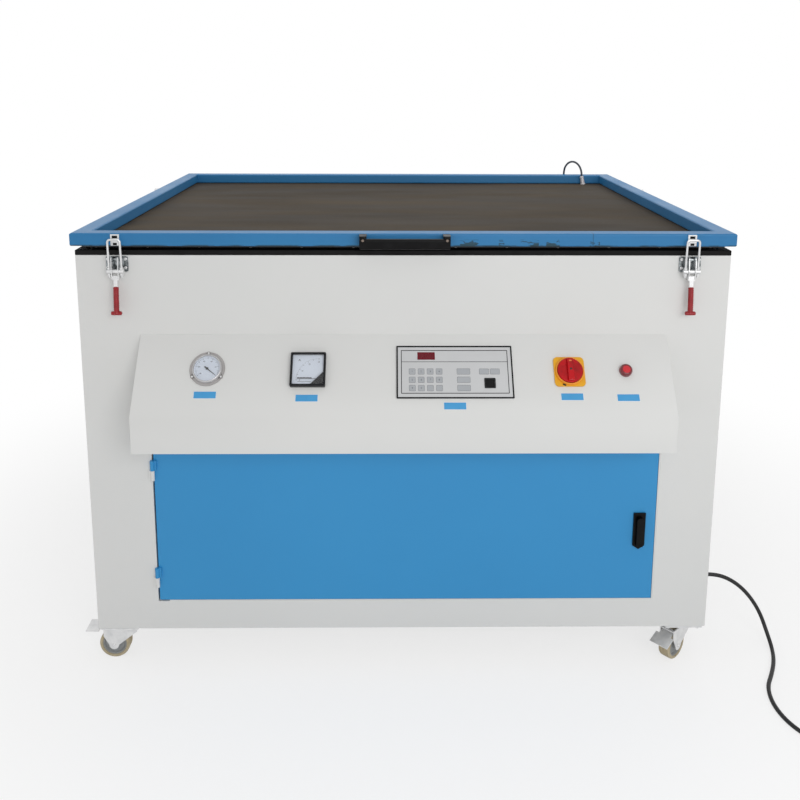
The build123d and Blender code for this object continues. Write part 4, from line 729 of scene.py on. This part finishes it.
def spoke(angle, radius):
    """A point at an angle in degrees and a radius in millimetres round the local Z axis."""
    return Vector((cos(radians(angle)), sin(radians(angle)), 0)) * radius * mm


lug_angles = (90, 210, 330)
lugs = [turned_piece((0, 0), (0, 6.4), (2.2, 6.4), (2.9, 5.8), (2.9, 0), at=spoke(angle, 34.9), segments=32)
        for angle in lug_angles]
flange = turned_piece((0, 0), (0, 40), (2.2, 40), (2.9, 39.4), (2.9, 0))
bezel = turned_piece((2, 34), (5.6, 34), (7.6, 33.2), (8.8, 31.8), (9, 30.8), (8.4, 30.2), (4.2, 29.7), (2, 29.7), (2, 34))
add_piece("gauge_flange", "cabinet", gauge_steel, placed(gauge_place, flange, *lugs), ["gauge_case"])
bezel_steel = finish("bezel_steel", plated_steel, 0.6, (0.08, 0.0002), {
    "Metal": srgb(196, 195, 196), "Dull": srgb(168, 167, 168), "Blotch size": 40.0, "Gloss": 0.22})
add_piece("gauge_bezel", "cabinet", bezel_steel, placed(gauge_place, bezel))
heads = [screw_head(spoke(angle, 37) + Z * 2.8 * mm, Z, 2.4 * mm, 1.4 * mm) for angle in lug_angles]
add_piece("gauge_screws", "cabinet", zinc, placed(gauge_place, *heads))
dial_white = finish("dial_white", moulded, bump=(0.02, 0.0001), values={
    "Body": srgb(214, 219, 227), "Worn": srgb(203, 208, 218), "Gloss": 0.45})
print_black = finish("print_black", moulded, bump=(0.02, 0.0001), Specular_IOR_Level=0.2, values={
    "Body": srgb(10, 10, 13), "Worn": srgb(22, 22, 26), "Gloss": 0.45})
add_piece("gauge_dial", "cabinet", dial_white,
          placed(gauge_place, turned_piece((1.2, 0), (1.2, 29.9), (3.0, 29.9), (3.0, 0))))


def tick(angle, inner, outer, width, low, centre=(0, 0)):
    """A short printed line that points at the centre of a scale."""
    around = Matrix.Translation((centre[0] * mm, centre[1] * mm, 0)) @ Matrix.Rotation(radians(angle), 4, "Z")
    return placed(around, plate(outer - inner, width, low, low + 0.12, at=((inner + outer) / 2, 0)))


def number(text, size, low, at):
    """A printed number, raised by a hair, upright on the local plane."""
    def draw(b):
        data = bpy.data.curves.new("number", "FONT")
        data.body, data.size, data.align_x, data.align_y = text, size * mm, "CENTER", "CENTER"
        data.extrude, data.resolution_u = 0.05 * mm, 3
        holder = bpy.data.objects.new("number", data)
        bpy.context.scene.collection.objects.link(holder)
        mesh = bpy.data.meshes.new_from_object(holder)
        bpy.data.objects.remove(holder)
        b.from_mesh(mesh)
        bmesh.ops.remove_doubles(b, verts=b.verts, dist=1e-7)
        bmesh.ops.translate(b, vec=(at[0] * mm, at[1] * mm, (low + 0.05) * mm), verts=b.verts)
    return draw


scale_start, scale_turn = -38, 256
marks = []
for step in range(51):
    angle = scale_start + scale_turn * step / 50
    long = step % 5 == 0
    marks.append(tick(angle, 23.2 if long else 25.2, 27.2, 0.6 if long else 0.3, 3.0))
for step in range(6):
    at = spoke(scale_start + scale_turn * step / 5, 19) / mm
    marks.append(number(str(20 * step), 4.4, 3.0, at))
add_piece("gauge_scale", "cabinet", print_black, placed(gauge_place, *marks))
needle_black = finish("needle_enamel", moulded, bump=(0.02, 0.0001), values={
    "Body": srgb(8, 8, 10), "Worn": srgb(20, 20, 22), "Gloss": 0.35})
dress(needle_black, "gauge_needle")
add_piece("gauge_glass", "cabinet", window_glass,
          placed(gauge_place, turned_piece((6.8, 0), (6.8, 29.9), (7.8, 29.9), (7.8, 0))))

# ------------------------------------------------------------------ ammeter
# Square moving-iron meter: a black moulded bezel over a white face with a quarter scale, a black pointer
# that rests at the left, and a black cover over the movement in the lower right corner.
ammeter_place = on_slope(-219, 88)
ammeter_black = finish("ammeter_black", moulded, bump=(0.06, 0.0002), Specular_IOR_Level=0.25, values={
    "Body": srgb(12, 13, 18), "Worn": srgb(26, 27, 32), "Gloss": 0.3})


def border(width, depth, low, high, band, corner=0.0, at=(0, 0), edge=0.0):
    """A rectangular frame: a plate with its middle cut out, which leaves a band; millimetres."""
    def draw(b):
        plate(width, depth, low, high, corner, 0, at)(b)
        b.normal_update()
        caps = [face for face in b.faces if abs(face.normal.z) > 0.9]
        bmesh.ops.inset_individual(b, faces=caps, thickness=band * mm, use_even_offset=True)
        bmesh.ops.delete(b, geom=caps, context="FACES_ONLY")
        bmesh.ops.bridge_loops(b, edges=[e for e in b.edges if e.is_boundary])
        bmesh.ops.recalc_face_normals(b, faces=b.faces)
        if edge:
            top = [e for e in b.edges if all(v.co.z > high * mm - 1e-6 for v in e.verts) and
                   e.calc_face_angle(0) > 1]
            rounded_over(b, top, edge * mm, 2)
    return draw


def corner_cover(b):
    corners = [b.verts.new(Vector(spot) * mm) for spot in ((35.2, -35.2, 6.8), (35.2, -6.5, 6.8), (6.5, -35.2, 6.8))]
    base = b.faces.new(corners)
    top = bmesh.ops.extrude_face_region(b, geom=[base])
    bmesh.ops.translate(b, vec=(0, 0, 4.4 * mm), verts=[v for v in top["geom"] if isinstance(v, bmesh.types.BMVert)])
    bmesh.ops.recalc_face_normals(b, faces=b.faces)


add_piece("ammeter_bezel", "cabinet", ammeter_black,
          placed(ammeter_place, border(80, 80, 0, 12, 5, 3.0, edge=0.8), corner_cover), ["ammeter_case"])
add_piece("ammeter_face", "cabinet", dial_white, placed(ammeter_place, plate(71, 71, 3.6, 5.0)))
pivot = (24, -24)
marks = [tick(180 - 3 * step, 47.6 if step % 5 == 0 else 49.4, 51.4, 0.6 if step % 5 == 0 else 0.3, 5.0, pivot)
         for step in range(31)]
for step in range(4):
    at = spoke(180 - 30 * step, 42.5) / mm
    marks.append(number(str(10 * step), 4.6, 5.0, (at[0] + pivot[0], at[1] + pivot[1])))
marks += [plate(30, 0.7, 5.0, 5.15, at=(-8, -28)), number("A", 8.0, 5.0, (-20, 23))]
add_piece("ammeter_scale", "cabinet", print_black, placed(ammeter_place, *marks))
add_piece("ammeter_blade", "ammeter_pointer", needle_black,
          placed(ammeter_place, plate(33, 2.8, 7.4, 7.9, 0.4, 0.1, (-7.6, -20.4)), plate(16, 0.9, 7.4, 7.9, at=(16, -22)),
                 turned_piece((6.4, 0), (6.4, 3.2), (8.2, 3.2), (8.2, 0), at=Vector((24, -24, 0)) * mm, segments=24)),
          ["ammeter_needle"])
add_piece("ammeter_glass", "cabinet", window_glass,
          placed(ammeter_place, plate(70.4, 70.4, 10.6, 11.4)))

# ------------------------------------------------------------------ timer panel
# Membrane panel on a flat plate: black printed borders on silver foil, a dark red window over an unlit
# number display, embossed keys with plain digits, and a black rocker switch in its frame.
timer_place = on_slope(114, 92.8)
timer_foil = finish("timer_foil", plated_steel, 0.15, (0.03, 0.0001), {
    "Metal": srgb(200, 201, 202), "Dull": srgb(190, 191, 192), "Blotch size": 9.0, "Gloss": 0.36})
softened("timer_plate", "timer_panel", "cabinet", timer_foil, 0.0004)
field_grey = finish("timer_field_grey", plated_steel, 0.15, (0.03, 0.0001), {
    "Metal": srgb(164, 167, 171), "Dull": srgb(152, 155, 160), "Blotch size": 9.0, "Gloss": 0.36})
add_piece("timer_field", "cabinet", field_grey, placed(timer_place, plate(243, 74.6, 3.9, 3.96, at=(0, -13.4))))
lines = [border(265, 125, 3.9, 4.5, 3.4, 2.0), border(244, 103, 3.9, 4.12, 1.6, 1.0, (0, 0.5)),
         plate(241.5, 1.1, 3.9, 4.12, at=(0, 24))]
add_piece("timer_borders", "cabinet", print_black, placed(timer_place, *lines))
key_foil = finish("key_foil", plated_steel, 0.1, (0.02, 0.0001), {
    "Metal": srgb(170, 173, 177), "Dull": srgb(160, 163, 167), "Blotch size": 30.0, "Gloss": 0.34})
key_print = finish("key_print", moulded, bump=(0.02, 0.0001), values={
    "Body": srgb(76, 78, 84), "Worn": srgb(90, 92, 98), "Gloss": 0.4})
key_columns, key_rows = (-96.8, -76.4, -56, -35.6), (0.8, -18.8, -38.2)
keys = [((x, y), 14.6, 14.0) for y in key_rows for x in key_columns]
keys += [((19.8, y), 30.0, 14.0) for y in key_rows] + [((x, key_rows[0]), 22.0, 13.4) for x in (66.5, 91.2)]
pads = [plate(wide - 1.2, deep - 1.2, 4.0, 4.35, 1.4, 0.25, at) for at, wide, deep in keys]
outlines = [border(wide, deep, 4.0, 4.14, 0.5, 1.8, at) for at, wide, deep in keys]
digits = [number(text, 6.2, 4.35, at) for text, (at, wide, deep) in zip("1234567890", keys)]
add_piece("timer_keys", "cabinet", key_foil, placed(timer_place, *pads))
add_piece("timer_key_lines", "cabinet", key_print, placed(timer_place, *outlines, *digits))
window_red = finish("window_red", moulded, bump=(0.01, 0.0001), Specular_IOR_Level=0.25, values={
    "Body": srgb(108, 6, 30), "Worn": srgb(98, 6, 26), "Gloss": 0.22})
segment_red = finish("segment_red", moulded, bump=(0.01, 0.0001), values={
    "Body": srgb(84, 4, 20), "Worn": srgb(78, 4, 18), "Gloss": 0.35})
segments = []
for digit in range(4):
    x = -64.4 - 13.2 + 8.8 * digit
    segments += [plate(4.2, 0.9, 4.5, 4.56, at=(x, 38 + y)) for y in (-5, 0, 5)]
    segments += [plate(0.9, 4.2, 4.5, 4.56, at=(x + side * 2.6, 38 + y)) for side in (-1, 1) for y in (-2.5, 2.5)]
add_piece("timer_window", "cabinet", window_red, placed(timer_place, plate(40, 18, 4.0, 4.5, 0.8, 0.2, (-64.4, 38))))
add_piece("timer_segments", "cabinet", segment_red, placed(timer_place, *segments))
rocker_black = finish("rocker_black", moulded, bump=(0.08, 0.0002), Specular_IOR_Level=0.2, values={
    "Body": srgb(6, 8, 9), "Worn": srgb(16, 18, 19), "Gloss": 0.3})
add_piece("rocker_frame", "cabinet", rocker_black,
          placed(timer_place, border(25.4, 23.4, 4.0, 5.8, 2.2, 1.5, (79, -26.8), 0.5)))
softened("rocker_cap", "timer_rocker", "rocker", rocker_black, 0.0006)

# ------------------------------------------------------------------ main switch
# Rotary main switch: a yellow moulded plate with a raised collar, and in it a red knob with a grip bar
# across it, a pale pointer mark and the screw that holds it on its shaft.
switch_place = on_slope(375.3, 92.2)
switch_yellow = finish("switch_yellow", moulded, bump=(0.06, 0.0002), values={
    "Body": srgb(230, 170, 20), "Worn": srgb(216, 148, 16), "Wear": 0.6, "Gloss": 0.3})
switch_red = finish("switch_red", moulded, bump=(0.08, 0.0002), Specular_IOR_Level=0.3, values={
    "Body": srgb(192, 6, 22), "Worn": srgb(128, 2, 12), "Wear": 0.8, "Gloss": 0.26, "Wear size": 40.0})
softened("switch_plate", "main_switch_plate", "cabinet", switch_yellow, 0.0012)
knob = turned_piece((8.5, 0), (8.5, 28.9), (13.4, 28.7), (14.8, 27.4), (15.1, 26), (15.1, 0))
grip = plate(14, 52, 14.9, 24.5, 3.0, 1.6)
add_piece("switch_knob", "main_switch", switch_red, placed(switch_place, knob, grip), ["main_switch_knob"])
collar_orange = finish("collar_orange", moulded, bump=(0.04, 0.0002), values={
    "Body": srgb(246, 156, 44), "Worn": srgb(236, 140, 36), "Gloss": 0.3})
collar = turned_piece((4, 32.2), (11.4, 32), (12.2, 31.4), (12.4, 30.6), (12.2, 29.9), (11.4, 29.6), (4, 29.6), (4, 32.2))
# The padlock slot in the yellow plate is a black plate: painted shade where its hole is.
padlock_slot_painted_shade = Matrix.Translation((-14 * mm, -31.4 * mm, 0)) @ Matrix.Rotation(radians(-24), 4, "Z")
add_piece("switch_collar", "cabinet", collar_orange, placed(switch_place, collar))
add_piece("padlock_slot_painted_shade", "cabinet", needle_black,
          placed(switch_place @ padlock_slot_painted_shade, plate(8, 3.4, 3.9, 5.2, 1.2, 0.2)))
add_piece("switch_mark", "main_switch", finish("mark_cream", moulded, bump=(0.02, 0.0001), values={
    "Body": srgb(226, 120, 70), "Worn": srgb(214, 108, 62)}),
    placed(switch_place, plate(6, 3.4, 24.4, 24.6, 0.6, 0.1, (0, 19.5))))
add_piece("switch_screw", "main_switch", needle_black,
          placed(switch_place, screw_head(Z * 24.4 * mm, Z, 2.6 * mm, 0.5 * mm)))

# ------------------------------------------------------------------ pilot lamp
# Red lens, screwed on over its bezel, on the slope at the right. Its sides are dark red as painted shade,
# and its face a brighter red as a painted highlight.
pilot_place = on_slope(504.5, 89.7)
lens_painted_shade = finish("lens_painted_shade", moulded, bump=(0.02, 0.0001), Coat_Weight=0.4, values={
    "Body": srgb(112, 6, 24), "Worn": srgb(84, 4, 18), "Wear": 0.4, "Gloss": 0.2, "Wear size": 60.0})
lens_painted_highlight = finish("lens_painted_highlight", moulded, bump=(0.02, 0.0001), Coat_Weight=0.3, values={
    "Body": srgb(206, 16, 36), "Worn": srgb(180, 12, 30), "Wear": 0.4, "Gloss": 0.24, "Wear size": 60.0})
lens = turned_piece((0, 0), (0, 14.5), (1.6, 14.5), (1.9, 14.1), (8.6, 14), (10.8, 13), (12.1, 11.2), (12.5, 9.4),
                    (12.2, 8.6), (12.2, 0))
add_piece("pilot_lens", "cabinet", lens_painted_shade, placed(pilot_place, lens), ["pilot_lamp"])
add_piece("pilot_face", "cabinet", lens_painted_highlight,
          placed(pilot_place, turned_piece((12.1, 0), (12.1, 8.9), (12.6, 8.7), (13, 6), (13.1, 0))))

# ------------------------------------------------------------------ door and its hinges
# Folded steel door, powder-painted blue like the lid, on two weld-on barrel hinges: their upper halves
# are painted with the door, their lower halves with the cabinet.
door_blue = finish("door_blue", powder_paint, bump=(0.12, 0.0003), values={
    "Paint": srgb(50, 144, 202), "Shade": srgb(42, 130, 188), "Mottle size": 1.8, "Gloss": 0.34})
softened("door_skin", "door_panel", "door", door_blue, 0.0006)
softened("hinge_barrels", "door_hinge_posts", "cabinet", white_paint, 0.0005)
door_low, door_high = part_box("door_panel")
doorway_gap, lip_gap = 4 * mm, 1.2 * mm
doorway_right, doorway_bottom = door_high[0] + doorway_gap, door_low[2] - doorway_gap


def lip(x0, x1, z0, z1):
    """A narrow strip in the gap round the door, set back a little from the sheet's face."""
    return block(Vector((x0, panel_front + 0.7 * mm, z0)), Vector((x1, panel_front + 1.9 * mm, z1)))


add_piece("doorway_lips", "cabinet", white_paint, several(
    lip(door_high[0] + lip_gap, doorway_right + 0.3 * mm, doorway_bottom, 578 * mm),
    lip(door_low[0] + 30 * mm, door_high[0] + lip_gap, doorway_bottom - 0.3 * mm, door_low[2] - lip_gap)))

# ------------------------------------------------------------------ door lock
# Black cast lock with a pointed lower end, and a lever that folds down over it.
softened("lock_body", "door_lock_plate", "door", handle_black, 0.0009)
softened("lock_lever", "door_lock_lever", "door_lock", handle_black, 0.0012)

# ------------------------------------------------------------------ casters
# Pressed and zinc-plated forks with brake pedals in front and fixed forks behind, all bolted through
# their top plates, and tan rubber tyres with ribbed treads on moulded grey wheels.
dress(zinc, "caster_plates")
tyre_tan = finish("tyre_tan", moulded, bump=(0.3, 0.0004), values={
    "Body": srgb(186, 172, 142), "Worn": srgb(140, 128, 102), "Wear": 0.6, "Gloss": 0.5, "Wear size": 70.0})
hub_grey = finish("hub_grey", moulded, bump=(0.1, 0.0003), values={
    "Body": srgb(150, 152, 152), "Worn": srgb(120, 122, 124), "Wear": 0.5, "Gloss": 0.4})
tyre_profile = [(-12.6, 29), (-15, 30.4), (-15, 34.2), (-13.6, 36.4), (-11.6, 37.4)]
for rib in range(5):
    tyre_profile += [(-9.6 + 4.4 * rib, 37.5), (-9.0 + 4.4 * rib, 36.4), (-7.8 + 4.4 * rib, 36.4), (-7.2 + 4.4 * rib, 37.5)]
tyre_profile += [(11.8, 37.4), (13.6, 36.4), (15, 34.2), (15, 30.4), (12.6, 29), (-12.6, 29)]
hub_profile = [(-15, 4.05), (-15, 8), (-13.8, 9), (-8, 10.5), (-8, 24), (-12.6, 26.5), (-12.8, 29.2), (12.8, 29.2),
               (12.6, 26.5), (8, 24), (8, 10.5), (13.8, 9), (15, 8), (15, 4.05), (-15, 4.05)]
wheels = []
for side, name in ((-1, "left"), (1, "right")):
    heading = radians(180 if side < 0 else 222)
    swivel = Vector((side * 698, -506, 37.5)) * mm
    wheels.append((f"front_{name}", swivel + Vector((cos(heading), sin(heading), 0)) * 25 * mm,
                   Vector((-sin(heading), cos(heading), 0))))
    wheels.append((f"rear_{name}", Vector((side * 698, 604, 37.5)) * mm, X))
    softened(f"caster_yoke_{name}", f"caster_fork_front_{name}", f"fork_{name}", zinc, 0.0008)
    softened(f"brake_tread_{name}", f"brake_pedal_{name}", f"pedal_{name}", zinc, 0.0007)
for name, middle, axle in wheels:
    for part, profile, material, hidden in (("tyre", tyre_profile, tyre_tan, [f"caster_wheel_{name}"]),
                                            ("hub", hub_profile, hub_grey, [])):
        outline = [(along * mm, radius * mm) for along, radius in profile]
        add_piece(f"{part}_{name}", f"wheel_{name}", material, lathe(outline, middle, axle, 64), hidden)
plate_low, plate_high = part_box("caster_plates")
bolts = [Vector((sx * 698 + dx, y + dy, 96)) * mm for sx in (-1, 1) for y in (-506, 604)
         for dx in (-36, 36) for dy in (-36, 36)]
hexagon = [(0, 0), (0, 6), (4.2 * mm, 6), (5 * mm, 5.2), (5 * mm, 0)]
add_piece("caster_bolts", "cabinet", zinc,
          several(*[lathe([(along, radius * mm) for along, radius in hexagon], bolt, -Z, 6) for bolt in bolts]))

# ------------------------------------------------------------------ fan
# Black moulded fan behind the rear sheet, with a wire guard outside that finger tips can't pass.
fan_black = finish("fan_black", moulded, bump=(0.15, 0.0003), values={
    "Body": srgb(34, 34, 37), "Worn": srgb(52, 52, 55), "Gloss": 0.4})
dress(fan_black, "fan_housing", "fan_rotor")


# ------------------------------------------------------------------ vacuum hose
# Thin dark rubber hose that draws the air from under the blanket: from a silver fitting on the blanket
# it loops over the rear bar and drops to an elbow in the rear sheet.
def smooth_line(name, points, radius=0.0):
    """An open curve whose control points are the route's, round in section if it has a radius."""
    data = bpy.data.curves.new(name, "CURVE")
    data.dimensions = "3D"
    data.bevel_depth, data.bevel_resolution, data.resolution_u = radius, 3, 6
    data.use_fill_caps = True
    spline = data.splines.new("NURBS")
    spline.points.add(len(points) - 1)
    for point, place in zip(spline.points, points):
        point.co = (*place, 1)
    spline.order_u = 3
    spline.use_endpoint_u = True
    made = bpy.data.objects.new(name, data)
    bpy.context.scene.collection.objects.link(made)
    return made


def mesh_of(guide):
    """The mesh that a curve makes, with the curve itself removed."""
    mesh = bpy.data.meshes.new_from_object(guide)
    bpy.data.objects.remove(guide)
    return mesh


hose_diameter = 7 * mm
fitting_foot = Vector((656, 599, 1062)) * mm
fitting_lean = Matrix.Rotation(radians(-11), 3, "Y") @ Z
hose_foot, hose_end = fitting_foot + fitting_lean * 29 * mm, Vector((600, 666, 924)) * mm
hose_span, hose_base = Vector((-50, 71, 0)) * mm, 1093.8 * mm
hose_half = 45.2 * mm
hose_route = [hose_foot]
for step in range(6):
    angle = radians(15 + 30 * step)
    along, up = 0.5 - 0.5 * cos(angle) / cos(radians(15)), sin(angle) / cos(radians(15))
    bend = hose_foot + hose_span * along
    hose_route.append(Vector((bend.x, bend.y, hose_base + hose_half * up)))
fall = hose_route[-1].z - hose_end.z
for x, y, share in ((601, 671, 0.26), (601, 670, 0.62)):
    hose_route.append(Vector((x * mm, y * mm, hose_route[6].z - fall * share)))
hose_route += [hose_end + Z * 30 * mm, hose_end]
hose_line = [vertex.co.copy() for vertex in mesh_of(smooth_line("hose_guide", hose_route)).vertices]
hose_rubber = finish("hose_rubber", moulded, bump=(0.15, 0.0003), values={
    "Body": srgb(52, 58, 70), "Worn": srgb(76, 82, 94), "Gloss": 0.34, "Wear size": 40.0})
hose = bpy.data.objects.new("air_hose", mesh_of(smooth_line("hose_tube", hose_route, hose_diameter / 2)))
bpy.context.scene.collection.objects.link(hose)
hose.data.materials.clear()
hose.data.materials.append(hose_rubber)
hose.data.shade_smooth()
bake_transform(hose)
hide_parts("vacuum_hose")
fitting_steel = finish("fitting_steel", plated_steel, 0.6, (0.05, 0.0002), {
    "Metal": srgb(206, 202, 204), "Dull": srgb(160, 154, 158), "Gloss": 0.34})
fitting_outline = [(0, 0), (0, 9.6), (1.6, 9.6), (2.6, 8.8), (5, 8.2), (23, 6.6), (24, 7), (27, 6.9), (28, 5.6), (30, 4.6), (30, 0)]
add_piece("hose_fitting", "lid", fitting_steel,
          lathe([(along * mm, radius * mm) for along, radius in fitting_outline], fitting_foot, fitting_lean, 24),
          ["blanket_fitting"])
softened("hose_elbow", "hose_bulkhead", "cabinet", chrome, 0.0006)

# ------------------------------------------------------------------ power cord with its gland and plug
# Black rubber mains cord. It leaves the cabinet's right side through a screwed gland, drops to the floor
# and runs forward; what is left of it is wound up beside the moulded plug, out of the picture.
cord_diameter = 10 * mm
gland_tip = Vector((784, -439, 173)) * mm
cord_steps = [(0, 0, 0), (26, 0, 0), (60, -1, -10), (94, -3, -32), (124, -6, -64), (148, -13, -103),
              (162, -28, -146), (162, -67, -168), (145, -117, -168), (118, -166, -168), (88, -212, -168),
              (76, -274, -168), (88, -338, -168), (126, -392, -168)]
cord_route = [gland_tip + Vector(step) * mm for step in cord_steps]
coil_middle = Vector((1010, -801, 0)) * mm
cord_route.append(coil_middle + Vector((-60, -66, 5)) * mm)


def coil_point(turns, radius, height):
    angle = 2 * pi * turns - pi / 2
    return coil_middle + Vector((cos(angle) * radius, sin(angle) * radius, height)) * mm


coil_steps = 16
for step in range(0, 2 * coil_steps + 1):
    cord_route.append(coil_point(step / coil_steps, 68 - 10 * step / coil_steps, 5))
for step in range(1, 4):
    cord_route.append(coil_point(2 + step / coil_steps, 48, 5 + 10 * step / 3))
for step in range(1, 2 * coil_steps + 1):
    cord_route.append(coil_point(2 + (3 + step) / coil_steps, 48 + 10 * step / coil_steps, 15))
plug_start = coil_middle + Vector((68, 30, 22)) * mm
cord_route += [coil_middle + Vector((68.5, -6, 16)) * mm, coil_middle + Vector((68, 12, 20)) * mm, plug_start]

cord_line = [vertex.co.copy() for vertex in mesh_of(smooth_line("cord_guide", cord_route)).vertices]
cord_rubber = finish("cord_rubber", moulded, bump=(0.25, 0.0004), Specular_IOR_Level=0.35, values={
    "Body": srgb(34, 34, 35), "Worn": srgb(58, 58, 57), "Gloss": 0.42, "Wear size": 30.0, "Grain size": 1500.0})
power_cord = smooth_line("power_cord_visual", cord_route, cord_diameter / 2)
power_cord.data.materials.append(cord_rubber)
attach(power_cord, "cabinet")
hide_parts("power_cord", "power_cord_coil")

gland_black = finish("gland_nylon", moulded, bump=(0.2, 0.0003), values={
    "Body": srgb(38, 38, 39), "Worn": srgb(62, 62, 62), "Gloss": 0.4})
gland_seat = Vector((740, -439, 173)) * mm
relief = [(0, 0), (0, 11.8), (10, 11.8), (10, 14.8), (14.5, 14.8), (15.5, 13.5), (17.5, 13.2)]
for rib in range(6):
    along, radius = 17.5 + 4.2 * rib, 10.6 - 0.7 * rib
    relief += [(along, radius), (along + 2.8, radius - 0.2), (along + 3, radius - 2.2), (along + 4, radius - 2.3)]
relief += [(43.7, 6.6), (44, 5.6), (44, 0)]
power_gland = add_piece("strain_relief", "cabinet", gland_black,
                        lathe([(along * mm, radius * mm) for along, radius in relief], gland_seat, X),
                        ["cable_gland"])

plug_outline = [(0, 0), (0, 6.2)]
for rib in range(5):
    along, wider = 3 + 5.8 * rib, 0.6 * rib
    plug_outline += [(along, 6.4 + wider), (along + 3.4, 6.6 + wider), (along + 4, 5.3 + wider),
                     (along + 5.6, 5.5 + wider)]
plug_outline += [(32.5, 9.4), (34.5, 16.5), (37, 19.5), (42, 21.2), (58, 21.8), (61, 20.5), (64, 20.5),
                 (67, 21.8), (104, 21.9), (107, 21.2), (108.5, 19.5), (108.5, 0)]
pin_brass = finish("plug_pins", plated_steel, 1.0, (0.05, 0.0001), {
    "Metal": (0.72, 0.66, 0.5), "Dull": (0.5, 0.45, 0.35), "Gloss": 0.2})
plug_body = add_piece("plug_body", "cabinet", cord_rubber,
                      lathe([(along * mm, radius * mm) for along, radius in plug_outline], plug_start, Y),
                      ["power_plug"])
plug_end = plug_start + Y * 107.5 * mm
pin_outline = [(0, 0), (0, 3 * mm), (25 * mm, 3 * mm), (27.5 * mm, 1.8 * mm), (27.7 * mm, 0)]
pins = [lathe(pin_outline, plug_end + (X * cos(radians(a)) + Z * sin(radians(a))) * 11 * mm, Y, 16)
        for a in (90, 210, 330)]
plug_pins = add_piece("plug_pins", "cabinet", pin_brass, several(*pins))
